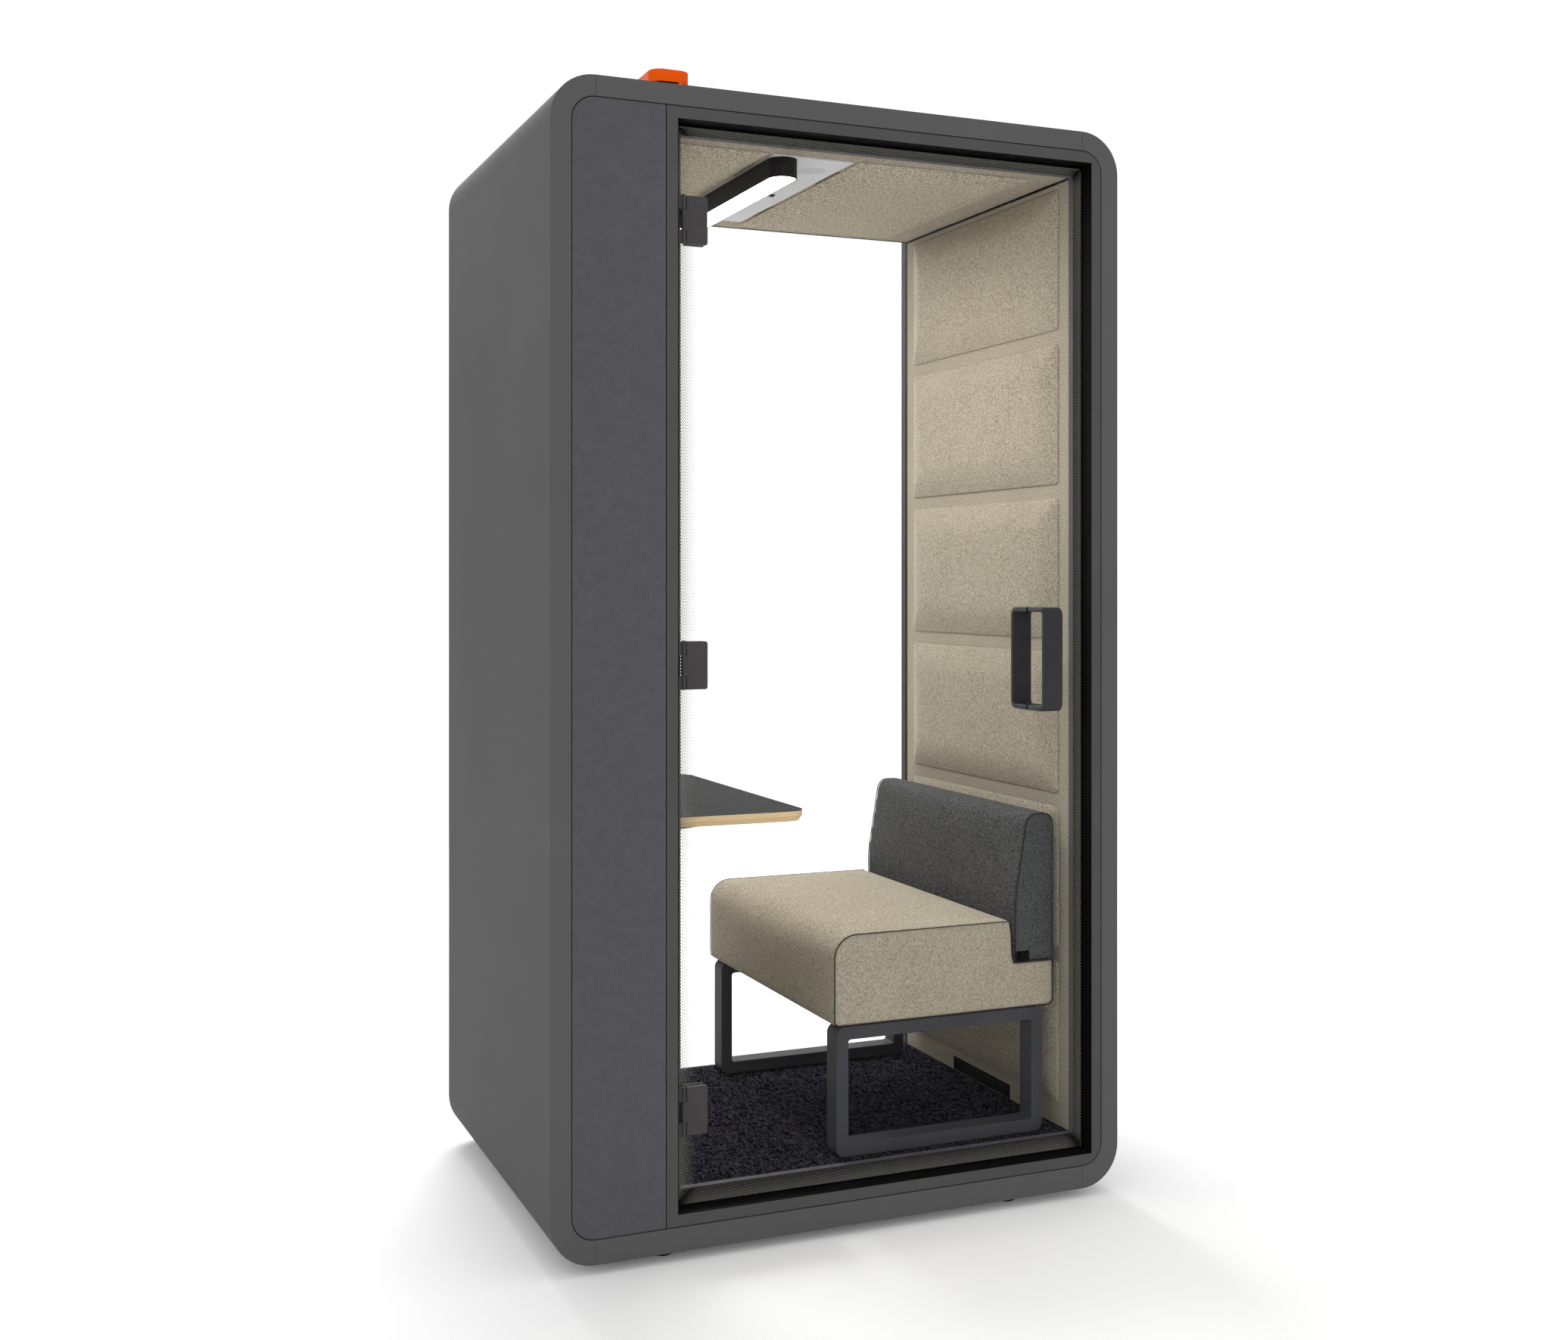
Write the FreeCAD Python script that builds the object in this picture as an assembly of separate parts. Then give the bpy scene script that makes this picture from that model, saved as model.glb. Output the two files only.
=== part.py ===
import FreeCAD, Part
import math
import os

# Free-standing office pod for one person, with a glass door at the front and a clear rear wall.
# Millimetres, +Z up, +X to the right seen from the door, +Y from the door to the rear.
# The origin is on the floor, in the middle of the pod's box.

os.makedirs("parts", exist_ok=True)
V = FreeCAD.Vector

# Clearances and small values that several pieces share
lining_gap = 0.5        # boards to the casing
soft_gap = 0.3          # soft pieces to their neighbours
run_gap = 0.05          # radial clearance of turning fits and bolts
groove = 2.0            # dark shadow line round the front panels
overrun = 5.0           # how far a cutting tool runs past its piece
tiny = 0.001            # two points nearer than this are one

# Casing
pod_width = 1268.0
pod_depth = 914.0
roof_top = 2300.0
floor_gap = 20.0        # underside of the casing above the floor
casing_wall = 41.0
casing_base = 48.0
corner_radius = 89.0
casing_edge = 2.0       # rounding of the casing's front and rear rims

# Front wall
front_recess = 1.0      # front panels behind the casing's front rim
fascia_width = 188.0
fascia_thickness = 20.0
frame_border = 24.5     # grey frame round the door opening
sleeve_wall = 1.5       # black sleeve inside the grey frame
lip_depth = 18.0        # door stop behind the glass
hinge_lip = 20.0        # width of the door stop on the hinge side

# Door glass
door_setback = 33.5     # front of the glass behind the casing's front rim
glass_thickness = 10.0
door_gap = 4.0          # glass to the frame at the top, bottom and free side
hinge_side_gap = 8.5
lip_gap = 4.5           # glass to the door stop
seal_width = 10.0
seal_inset = 1.5        # seal to the inner edge of the door stop

# Hinges
hinge_spread = 878.5    # top and bottom hinge from the middle one
hinge_height = 95.0
hinge_axis_in = 18.5    # turning axis from the frame's hinge side
hinge_axis_back = 25.0  # turning axis behind the casing's front rim
knuckle_radius = 5.0
knuckle_gap = 0.5
upper_knuckle_share = 0.29
lower_knuckle_share = 0.28
jamb_leaf_wall = 4.0
jamb_leaf_width = 26.0
jamb_web = 5.0
clamp_start = 7.0       # clamp plate from the turning axis
clamp_width = 43.5
clamp_wall = 9.0
clamp_corner = 5.0
clamp_web = 5.5
back_plate_wall = 6.0
pin_radius = 2.5
pin_head_radius = 4.0
pin_head_height = 1.5
clamp_bolt_radius = 3.0
clamp_bolt_head = 5.0
clamp_bolt_head_height = 3.0
clamp_bolt_spacing = 50.0
clamp_bolt_bite = 5.0   # how far the bolt runs into the front plate
glass_hole_play = 0.6

# Door handle
handle_inset = 91.0     # handle from the free side of the opening
handle_width = 46.5
handle_height = 221.0
handle_reach = 70.0     # grip's outer face from the middle of the glass
handle_band = 10.0
handle_radius = 18.0
handle_edge = 2.0
handle_bolt_radius = 3.0
handle_bolt_bite = 20.0

# Rear wall
rear_jamb_depth = 12.0
rear_glass_setback = 47.0   # rear of the glass in front of the casing's rear rim
rear_glass_lap = 14.0       # glass behind the rear frame
rear_glass_play = 2.0

# Lining, floor and ceiling
lining_wall = 43.0      # lining's fabric face from the casing's inner face
ceiling_drop = 46.0
ceiling_board_wall = 12.0
joist_height = 36.0
joist_width = 60.0
joist_spread_shares = (-0.8, -0.27, 0.27, 0.8)
floor_board_wall = 15.0
carpet_wall = 7.0

# Wall and ceiling pads
pad_count = 6
pad_foot_strip = 35.0   # bare strip above the carpet
pad_gap = 30.0
pad_margin = 40.0       # pads to the front and rear ends of the lining
pad_raise = 20.0
pad_slope = 70.0        # width of the soft slope round a pad
pad_corner = 14.0
pad_rise_shares = (0.0, 0.4, 0.8, 1.0)
pad_slope_shares = (0.0, 0.08, 0.4, 1.0)
ceiling_pad_raise = 16.0
ceiling_pad_side = 70.0
ceiling_pad_to_panel = 12.0

# Air intake low in the right wall
vent_length = 274.0
vent_height = 32.0
vent_depth = 20.0
vent_rim = 3.0
vent_slats = 4
vent_slat_wall = 2.0

# Ceiling service panel with the lamp
panel_centre_x = -38.5
panel_width = 181.0
panel_length = 650.0
panel_wall = 3.0
panel_front_margin = 48.0   # panel from the front end of the lining
lamp_centre_x = -98.0
lamp_width = 64.0
lamp_length = 640.0
lamp_drop = 41.0
lamp_wall = 3.0
lamp_ledge = 2.0
lamp_top = 4.0
diffuser_wall = 6.0
diffuser_recess = 0.6
led_board_wall = 2.0
sensor_radius = 9.0
sensor_drop = 5.0
sensor_x = 8.0
sensor_back = 345.0     # from the panel's front edge
disc_radius = 30.5
disc_x = -1.5
disc_back = 97.0

# Ventilation fans under the roof
fan_size = 120.0
fan_depth = 25.0
fan_spread = 190.0      # each fan from the middle of the pod
fan_bore = 56.0
fan_strut_wall = 4.0
fan_strut_width = 6.0
fan_boss_radius = 20.0
spindle_radius = 2.0
spindle_length = 13.0
rotor_play = 0.3
rotor_hub_radius = 22.0
rotor_hub_height = 17.0
rotor_tip_radius = 53.0
blade_count = 7
blade_wall = 2.0
blade_chord = 17.0
blade_pitch_deg = 35.0
grille_radius = 66.0
grille_wall = 3.0
grille_spoke = 6.0
grille_ring_shares = ((0.88, 0.68), (0.58, 0.32))
driver_length = 180.0
driver_width = 60.0
driver_height = 20.0
driver_x = 240.0

# Bench
bench_front_gap = 19.0  # bench from the front end of the lining
bench_rear_gap = 24.0   # bench from the rear end of the lining
seat_wall_gap = 3.0     # bench to the wall pads
seat_length = 532.0
loop_height = 273.0
loop_length = 496.0
loop_front_inset = 7.5
loop_side_inset = 6.0
loop_bar = 28.0
loop_band = 50.0
loop_radius = 20.0
loop_inner_radius = 6.0
loop_edge = 2.0
rail_width = 40.0
rail_height = 20.0
rail_inset = 30.0       # rails from the loops' upright bars
seat_board_wall = 15.0
seat_board_inset = 26.0
seat_height = 195.0
seat_nose_radius = 50.0
seat_low_radius = 12.0
seat_crown = 8.0
seat_bulge = 5.0
end_draw = 6.0          # how far the bench's end seams are drawn in
notch_height = 99.0     # step in the seat that takes the backrest
notch_lean = 7.5        # how far the step's front overhangs at the top
back_height = 229.0     # backrest's top above the seat
back_depth = 100.0      # backrest at its foot
back_top_depth = 67.0   # backrest at its top
back_bend_rise = 40.0   # where its front starts to lean back, above the seat
back_bend_radius = 300.0
back_nose_radius = 26.0
back_top_radius = 22.0
back_crown = 6.0
back_bulge = 6.0
station_shares = (0.0, 0.012, 0.04, 0.12, 0.3, 0.5, 0.7, 0.88, 0.96, 0.988, 1.0)
tag_width = 32.0
tag_height = 22.0
tag_wall = 1.0
tag_inset = 4.0

# Table
table_height = 731.0    # above the carpet
table_reach = 486.0
table_end_gap = 84.0    # table's ends from the casing's front and rear rims
table_corner = 42.0
table_core_wall = 21.0
table_bevel_height = 11.0
table_bevel_in = 7.0
laminate_wall = 1.0
arm_spread = 220.0
arm_width = 40.0
arm_plate_wall = 4.0
arm_web = 6.0
arm_root_drop = 44.0
arm_tip_drop = 12.0
arm_reach = 420.0
arm_flange_wall = 5.0
arm_flange_height = 74.0
arm_pad_play = 2.0
table_screw_radius = 2.0
table_screw_head = 4.0
table_screw_head_height = 2.5
table_screw_bite = 12.0
table_screw_out = 12.0
table_screw_shares = (0.12, 0.5, 0.9)

# Roof: mains inlet and its guard
guard_side_offset = 222.0   # from the casing's left side
guard_width = 82.0
guard_front_offset = 57.0
guard_length = 90.0
guard_height = 44.0
guard_wall = 3.0
guard_bend = 25.0
guard_slot_height = 20.0
guard_slot_left = 4.0
guard_slot_right = 12.0
guard_slot_depth = 20.0
guard_tab_width = 14.0
guard_tab_length = 30.0
inlet_width = 44.0
inlet_depth = 34.0
inlet_height = 30.0
inlet_back = 20.0       # inlet behind the guard's front plate
socket_width = 26.0
socket_height = 18.0
socket_depth = 18.0
socket_pin_width = 2.0
socket_pin_height = 5.0
socket_pin_length = 10.0
socket_pin_pitch = 7.0

# Feet
foot_side_inset = 244.0  # from the casing's sides
foot_inset = 63.0       # from the casing's front and rear rims
foot_radius = 20.0
foot_disc = 8.0
foot_collar_radius = 9.0
foot_stud_radius = 5.0
foot_stud_length = 30.0
foot_stud_end = 2.0     # free depth above the stud

# Places worked out from the sizes above
half_width = pod_width / 2
inner_x = half_width - casing_wall
inner_low = floor_gap + casing_base
inner_high = roof_top - casing_wall
inner_radius = corner_radius - casing_wall
seam_x = half_width - corner_radius
handle_proud = handle_reach - door_setback - glass_thickness / 2
front_y = -pod_depth / 2 + handle_proud / 2
rear_y = front_y + pod_depth
mid_y = (front_y + rear_y) / 2

panel_front_y = front_y + front_recess
panel_rear_y = panel_front_y + fascia_thickness
fascia_right = -inner_x + groove + fascia_width
frame_left = fascia_right + groove
opening_left = frame_left + frame_border
opening_right = inner_x - groove - frame_border
opening_low = inner_low + groove + frame_border
opening_high = inner_high - groove - frame_border
glass_front_y = front_y + door_setback
glass_rear_y = glass_front_y + glass_thickness
lip_front_y = glass_rear_y + lip_gap
lining_front_y = lip_front_y + lip_depth
glass_left = opening_left + hinge_side_gap
glass_right = opening_right - door_gap
glass_low = opening_low + door_gap
glass_high = opening_high - door_gap
lip_left = opening_left + hinge_lip

rear_glass_rear_y = rear_y - rear_glass_setback
rear_glass_front_y = rear_glass_rear_y - glass_thickness
lining_rear_y = rear_glass_front_y - rear_jamb_depth

lining_x = inner_x - lining_wall
floor_board_low = inner_low + joist_height
floor_board_high = floor_board_low + floor_board_wall
floor_z = floor_board_high + carpet_wall
ceiling_z = inner_high - ceiling_drop

hinge_x = opening_left + hinge_axis_in
hinge_y = front_y + hinge_axis_back
hinge_mid_z = (opening_low + opening_high) / 2
hinge_levels = (hinge_mid_z - hinge_spread, hinge_mid_z, hinge_mid_z + hinge_spread)
clamp_left = hinge_x + clamp_start
clamp_right = clamp_left + clamp_width
handle_right = opening_right - handle_inset
handle_left = handle_right - handle_width
handle_low = hinge_mid_z - handle_height / 2
handle_high = handle_low + handle_height

pad_low_z = floor_z + pad_foot_strip
pad_pitch = (ceiling_z - pad_low_z) / pad_count
pad_front_y = lining_front_y + pad_margin
pad_rear_y = lining_rear_y - pad_margin
panel_left = panel_centre_x - panel_width / 2
panel_right = panel_centre_x + panel_width / 2
panel_y0 = lining_front_y + panel_front_margin
panel_z = ceiling_z - panel_wall

bench_y0 = lining_front_y + bench_front_gap
bench_y1 = lining_rear_y - bench_rear_gap
bench_width = bench_y1 - bench_y0
bench_rear_x = lining_x - pad_raise - seat_wall_gap
seat_front_x = bench_rear_x - seat_length
loop_top_z = floor_z + loop_height
seat_low_z = loop_top_z + soft_gap
seat_top_z = loop_top_z + seat_height
notch_z = loop_top_z + notch_height
loop_x0 = seat_front_x + loop_front_inset
loop_y0 = bench_y0 + loop_side_inset
loop_y1 = bench_y1 - loop_side_inset

table_top_z = floor_z + table_height
core_high = table_top_z - laminate_wall
core_low = core_high - table_core_wall
table_free_x = -lining_x + table_reach
table_y0 = front_y + table_end_gap
table_y1 = rear_y - table_end_gap

guard_y0 = front_y + guard_front_offset
guard_x0 = -half_width + guard_side_offset
guard_x1 = guard_x0 + guard_width
guard_centre_x = (guard_x0 + guard_x1) / 2
foot_line_x = half_width - foot_side_inset
fan_low = inner_high - fan_depth
rotor_low = fan_low + fan_strut_wall + rotor_play


# Shape helpers

def box(x0, x1, y0, y1, z0, z1):
    return Part.makeBox(x1 - x0, y1 - y0, z1 - z0, V(x0, y0, z0))


def post(x, y, size_x, size_y, z0, z1):
    """Box centred on an upright axis."""
    return box(x - size_x / 2, x + size_x / 2, y - size_y / 2, y + size_y / 2, z0, z1)


def upright(radius, x, y, z0, z1):
    """Cylinder along Z."""
    return Part.makeCylinder(radius, z1 - z0, V(x, y, z0))


def through(radius, x, z, y0, y1):
    """Cylinder along Y."""
    return Part.makeCylinder(radius, y1 - y0, V(x, y0, z), V(0, 1, 0))


def on_xz(y):
    return lambda u, v: V(u, y, v)


def on_xy(z):
    return lambda u, v: V(u, v, z)


def on_yz(x):
    return lambda u, v: V(x, u, v)


def rect(u0, u1, v0, v1, radius=0):
    return [(u0, v0, radius), (u1, v0, radius), (u1, v1, radius), (u0, v1, radius)]


def corner_span(before, corner, after):
    """Where a rounded corner starts, its middle and its end; a sharp one has no middle."""
    u, v, radius = corner
    if radius < tiny:
        return (u, v), None, (u, v)
    back = (before[0] - u, before[1] - v)
    ahead = (after[0] - u, after[1] - v)
    back_length = math.hypot(*back)
    ahead_length = math.hypot(*ahead)
    back = (back[0] / back_length, back[1] / back_length)
    ahead = (ahead[0] / ahead_length, ahead[1] / ahead_length)
    half = math.acos(back[0] * ahead[0] + back[1] * ahead[1]) / 2
    reach = radius / math.tan(half)
    middle = (back[0] + ahead[0], back[1] + ahead[1])
    middle_length = math.hypot(*middle)
    depth = (radius / math.sin(half) - radius) / middle_length
    start = (u + back[0] * reach, v + back[1] * reach)
    end = (u + ahead[0] * reach, v + ahead[1] * reach)
    return start, (u + middle[0] * depth, v + middle[1] * depth), end


def outline(corners, place):
    """Closed wire of lines and arcs through (u, v, radius) corners."""
    count = len(corners)
    spans = [corner_span(corners[i - 1], corners[i], corners[(i + 1) % count]) for i in range(count)]
    edges = []
    for i, (start, middle, end) in enumerate(spans):
        if middle is not None:
            edges.append(Part.Arc(place(*start), place(*middle), place(*end)).toShape())
        target = spans[(i + 1) % count][0]
        if math.dist(end, target) > tiny:
            edges.append(Part.makeLine(place(*end), place(*target)))
    return Part.Wire(edges)


def slab_xz(corners, y0, y1):
    return Part.Face(outline(corners, on_xz(y0))).extrude(V(0, y1 - y0, 0))


def slab_xy(corners, z0, z1):
    return Part.Face(outline(corners, on_xy(z0))).extrude(V(0, 0, z1 - z0))


def slab_yz(corners, x0, x1):
    return Part.Face(outline(corners, on_yz(x0))).extrude(V(x1 - x0, 0, 0))


def grown(corners, by):
    """A rectangle's corners moved outwards, sharp."""
    us = [corner[0] for corner in corners]
    vs = [corner[1] for corner in corners]
    return rect(min(us) - by, max(us) + by, min(vs) - by, max(vs) + by)


def within_casing(shape, gap):
    """The part of a shape that fits inside the casing, a gap away from it."""
    room = rect(-inner_x + gap, inner_x - gap, inner_low + gap, inner_high - gap, inner_radius - gap)
    return shape.common(slab_xz(room, front_y, rear_y))


def edges_on(shape, axis, places):
    """Edges that lie flat in one of the planes at the given places along an axis."""
    chosen = []
    for edge in shape.Edges:
        points = [vertex.Point[axis] for vertex in edge.Vertexes]
        points.append(edge.valueAt((edge.FirstParameter + edge.LastParameter) / 2)[axis])
        if any(all(abs(point - place) < tiny for point in points) for place in places):
            chosen.append(edge)
    return chosen


def on_outer_skin(edge):
    """True for an edge on the casing's outer skin."""
    point = edge.valueAt((edge.FirstParameter + edge.LastParameter) / 2)
    out_x = max(abs(point.x) - seam_x, 0)
    above = point.z - (roof_top - corner_radius)
    below = floor_gap + corner_radius - point.z
    return abs(math.hypot(out_x, max(above, below, 0)) - corner_radius) < tiny


def soften_rims(shape):
    rims = [edge for edge in edges_on(shape, 1, (front_y, rear_y)) if on_outer_skin(edge)]
    return shape.makeFillet(casing_edge, rims)


def fuse_all(shapes):
    return shapes[0].multiFuse(shapes[1:]).removeSplitter()


def cut_all(shape, tools):
    return shape.cut(Part.makeCompound(tools))


# Casing

def side_casing(side):
    """C-shaped shell with the round corners; side is -1 for left and 1 for right."""
    corners = [
        (side * seam_x, roof_top, 0),
        (side * half_width, roof_top, corner_radius),
        (side * half_width, floor_gap, corner_radius),
        (side * seam_x, floor_gap, 0),
        (side * seam_x, inner_low, 0),
        (side * inner_x, inner_low, inner_radius),
        (side * inner_x, inner_high, inner_radius),
        (side * seam_x, inner_high, 0),
    ]
    return soften_rims(slab_xz(corners, front_y, rear_y))


def fan_places():
    return [mid_y - fan_spread, mid_y + fan_spread]


def roof_casing():
    plate = soften_rims(box(-seam_x, seam_x, front_y, rear_y, inner_high, roof_top))
    bores = []
    for y in fan_places():
        bores.append(upright(fan_bore, panel_centre_x, y, inner_high - overrun, roof_top + overrun))
    return cut_all(plate, bores)


def foot_places():
    return {
        "foot_front_left": (-foot_line_x, front_y + foot_inset),
        "foot_front_right": (foot_line_x, front_y + foot_inset),
        "foot_rear_left": (-foot_line_x, rear_y - foot_inset),
        "foot_rear_right": (foot_line_x, rear_y - foot_inset),
    }


def base_casing():
    plate = soften_rims(box(-seam_x, seam_x, front_y, rear_y, floor_gap, inner_low))
    stud_top = floor_gap + foot_stud_length + foot_stud_end
    sockets = []
    for x, y in foot_places().values():
        sockets.append(upright(foot_stud_radius + run_gap, x, y, floor_gap - overrun, stud_top))
    return cut_all(plate, sockets)


def foot(x, y):
    """Round foot with a collar under the casing and a stud that turns in it."""
    disc = upright(foot_radius, x, y, 0, foot_disc)
    collar = upright(foot_collar_radius, x, y, 0, floor_gap)
    stud = upright(foot_stud_radius, x, y, 0, floor_gap + foot_stud_length)
    return fuse_all([disc, collar, stud])


# Front wall

def door_opening():
    return rect(opening_left, opening_right, opening_low, opening_high)


def lip_opening():
    return rect(lip_left, lining_x, floor_z, ceiling_z)


def front_fascia():
    panel = box(-inner_x, fascia_right, panel_front_y, panel_rear_y, inner_low, inner_high)
    return within_casing(panel, groove)


def front_frame():
    ring = box(frame_left, inner_x, panel_front_y, panel_rear_y, inner_low, inner_high)
    hole = slab_xz(grown(door_opening(), sleeve_wall), panel_front_y - overrun, panel_rear_y + overrun)
    return within_casing(ring, groove).cut(hole)


def door_frame():
    """Black frame: a thin sleeve inside the grey frame, then the jamb and the door stop."""
    jamb = box(frame_left, inner_x, panel_rear_y, lining_front_y, inner_low, inner_high)
    jamb = within_casing(jamb, lining_gap)
    sleeve = slab_xz(grown(door_opening(), sleeve_wall), panel_front_y, panel_rear_y)
    whole = fuse_all([jamb, sleeve])
    opening = slab_xz(door_opening(), panel_front_y - overrun, lip_front_y)
    stop = slab_xz(lip_opening(), lip_front_y - overrun, lining_front_y + overrun)
    return cut_all(whole, [opening, stop])


def front_inner_panel():
    panel = box(-inner_x, frame_left, panel_rear_y, lining_front_y, inner_low, inner_high)
    return within_casing(panel, lining_gap)


def door_seal():
    """Soft seal on the door stop, at the top, the bottom and the free side."""
    inner = grown(lip_opening(), seal_inset)
    outer = grown(lip_opening(), seal_inset + seal_width)
    y0 = glass_rear_y + soft_gap
    ring = slab_xz(outer, y0, lip_front_y).cut(slab_xz(inner, y0 - overrun, lip_front_y + overrun))
    y1 = lip_front_y + overrun
    seal_left = hinge_x + (hinge_x - glass_left) + seal_inset
    return ring.cut(box(opening_left, seal_left, y0 - overrun, y1, opening_low, opening_high))


# Door

def bolt_levels():
    """Heights of the clamp bolts of all hinges."""
    return [z + step for z in hinge_levels for step in (-clamp_bolt_spacing / 2, clamp_bolt_spacing / 2)]


def handle_bolt_levels():
    return [handle_low + handle_band / 2, handle_high - handle_band / 2]


def clamp_bolt_x():
    return (clamp_left + clamp_right) / 2


def handle_x():
    return (handle_left + handle_right) / 2


def door_glass():
    pane = box(glass_left, glass_right, glass_front_y, glass_rear_y, glass_low, glass_high)
    y0 = glass_front_y - overrun
    y1 = glass_rear_y + overrun
    holes = [through(clamp_bolt_radius + glass_hole_play, clamp_bolt_x(), z, y0, y1) for z in bolt_levels()]
    for z in handle_bolt_levels():
        holes.append(through(handle_bolt_radius + glass_hole_play, handle_x(), z, y0, y1))
    return cut_all(pane, holes)


def clamp_plate(z, y0, y1):
    """Hinge plate on the glass, with round corners on its free side."""
    low = z - hinge_height / 2
    high = z + hinge_height / 2
    corners = [
        (clamp_left, low, 0),
        (clamp_right, low, clamp_corner),
        (clamp_right, high, clamp_corner),
        (clamp_left, high, 0),
    ]
    return slab_xz(corners, y0, y1)


def knuckle_levels(z):
    """Ends of the upper jamb knuckle, the door knuckle and the lower jamb knuckle."""
    low = z - hinge_height / 2
    high = z + hinge_height / 2
    upper = high - hinge_height * upper_knuckle_share
    lower = low + hinge_height * lower_knuckle_share
    return [(upper, high), (lower + knuckle_gap, upper - knuckle_gap), (low, lower)]


def pin_bore(z):
    reach = hinge_height / 2 + overrun
    return upright(pin_radius + run_gap, hinge_x, hinge_y, z - reach, z + reach)


def hinge_door_leaf(z):
    front = glass_front_y - clamp_wall
    plate = clamp_plate(z, front, glass_front_y)
    low, high = knuckle_levels(z)[1]
    barrel = upright(knuckle_radius, hinge_x, hinge_y, low, high)
    web = box(hinge_x, clamp_left + clamp_wall, front, front + clamp_web, low, high)
    leaf = fuse_all([plate, barrel, web]).cut(pin_bore(z))
    steps = (z - clamp_bolt_spacing / 2, z + clamp_bolt_spacing / 2)
    y0 = glass_front_y - clamp_bolt_bite
    y1 = glass_front_y + overrun
    threads = [through(clamp_bolt_radius + run_gap, clamp_bolt_x(), level, y0, y1) for level in steps]
    return cut_all(leaf, threads)


def hinge_jamb_leaf(z):
    leaf = box(
        opening_left, opening_left + jamb_leaf_wall,
        hinge_y - jamb_leaf_width / 2, hinge_y + jamb_leaf_width / 2,
        z - hinge_height / 2, z + hinge_height / 2,
    )
    pieces = [leaf]
    levels = knuckle_levels(z)
    for low, high in (levels[0], levels[2]):
        pieces.append(upright(knuckle_radius, hinge_x, hinge_y, low, high))
        pieces.append(box(opening_left, hinge_x, hinge_y - jamb_web / 2, hinge_y + jamb_web / 2, low, high))
    return fuse_all(pieces).cut(pin_bore(z))


def hinge_pin(z):
    top = z + hinge_height / 2
    shank = upright(pin_radius, hinge_x, hinge_y, z - hinge_height / 2, top)
    head = upright(pin_head_radius, hinge_x, hinge_y, top, top + pin_head_height)
    return fuse_all([shank, head])


def hinge_back_plate(z):
    x = clamp_bolt_x()
    rear = glass_rear_y + back_plate_wall
    sink = rear - clamp_bolt_head_height
    plate = clamp_plate(z, glass_rear_y, rear)
    tools = []
    for level in (z - clamp_bolt_spacing / 2, z + clamp_bolt_spacing / 2):
        tools.append(through(clamp_bolt_radius + run_gap, x, level, glass_rear_y - overrun, rear))
        tools.append(through(clamp_bolt_head + run_gap, x, level, sink, rear + overrun))
    return cut_all(plate, tools)


def hinge_bolt(z):
    rear = glass_rear_y + back_plate_wall
    shank = through(clamp_bolt_radius, clamp_bolt_x(), z, glass_front_y - clamp_bolt_bite, rear)
    head = through(clamp_bolt_head, clamp_bolt_x(), z, rear - clamp_bolt_head_height, rear)
    return fuse_all([shank, head])


def handle_half(face_y, out):
    """U-shaped half of the handle on one face of the glass; out is -1 outside and 1 inside."""
    middle = (glass_front_y + glass_rear_y) / 2
    grip = middle + out * handle_reach
    inner = grip - out * handle_band
    bend = max(handle_radius - handle_band, handle_band / 2)
    corners = [
        (face_y, handle_high, 0),
        (grip, handle_high, handle_radius),
        (grip, handle_low, handle_radius),
        (face_y, handle_low, 0),
        (face_y, handle_low + handle_band, 0),
        (inner, handle_low + handle_band, bend),
        (inner, handle_high - handle_band, bend),
        (face_y, handle_high - handle_band, 0),
    ]
    bow = slab_yz(corners, handle_left, handle_right)
    bow = bow.makeFillet(min(handle_edge, handle_band / 4), side_edges(bow, face_y))
    y0, y1 = sorted((face_y - out * overrun, face_y + out * handle_bolt_bite))
    bores = [through(handle_bolt_radius + run_gap, handle_x(), z, y0, y1) for z in handle_bolt_levels()]
    return cut_all(bow, bores)


def side_edges(bow, face_y):
    """The handle's long edges, without those on the glass."""
    chosen = []
    for edge in edges_on(bow, 0, (handle_left, handle_right)):
        if any(abs(vertex.Point.y - face_y) > tiny for vertex in edge.Vertexes):
            chosen.append(edge)
    return chosen


def handle_bolt(z):
    reach = handle_bolt_bite - overrun
    return through(handle_bolt_radius, handle_x(), z, glass_front_y - reach, glass_rear_y + reach)


# Rear wall

def rear_opening():
    return rect(-opening_right, opening_right, opening_low, opening_high)


def rear_jamb():
    ring = box(-inner_x, inner_x, lining_rear_y, rear_glass_front_y, inner_low, inner_high)
    ring = within_casing(ring, lining_gap)
    clear = rect(-lining_x, lining_x, floor_z, ceiling_z)
    return ring.cut(slab_xz(clear, lining_rear_y - overrun, rear_glass_front_y + overrun))


def rear_glass():
    pane = slab_xz(grown(rear_opening(), rear_glass_lap), rear_glass_front_y, rear_glass_rear_y)
    return within_casing(pane, rear_glass_play)


def rear_frame():
    ring = box(-inner_x, inner_x, rear_glass_front_y, rear_y - front_recess, inner_low, inner_high)
    ring = within_casing(ring, groove)
    seat = grown(rear_opening(), rear_glass_lap + rear_glass_play)
    rebate = slab_xz(seat, rear_glass_front_y - overrun, rear_glass_rear_y)
    clear = slab_xz(rear_opening(), rear_glass_front_y, rear_y + overrun)
    return cut_all(ring, [rebate, clear])


# Floor

def floor_joists():
    joists = []
    for share in joist_spread_shares:
        x0 = share * lining_x - joist_width / 2
        x1 = x0 + joist_width
        joists.append(box(x0, x1, lining_front_y, lining_rear_y, inner_low, floor_board_low))
    return joists


def floor_board():
    board = box(-inner_x, inner_x, lining_front_y, lining_rear_y, floor_board_low, floor_board_high)
    return within_casing(board, lining_gap)


def carpet():
    x = lining_x - lining_gap
    return box(-x, x, lining_front_y, lining_rear_y, floor_board_high, floor_z)


# Lining

def wall_board(side):
    x0, x1 = sorted((side * lining_x, side * inner_x))
    board = box(x0, x1, lining_front_y, lining_rear_y, floor_board_high, ceiling_z)
    return within_casing(board, lining_gap)


def vent_y0():
    return (lining_front_y + lining_rear_y - vent_length) / 2


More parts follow.
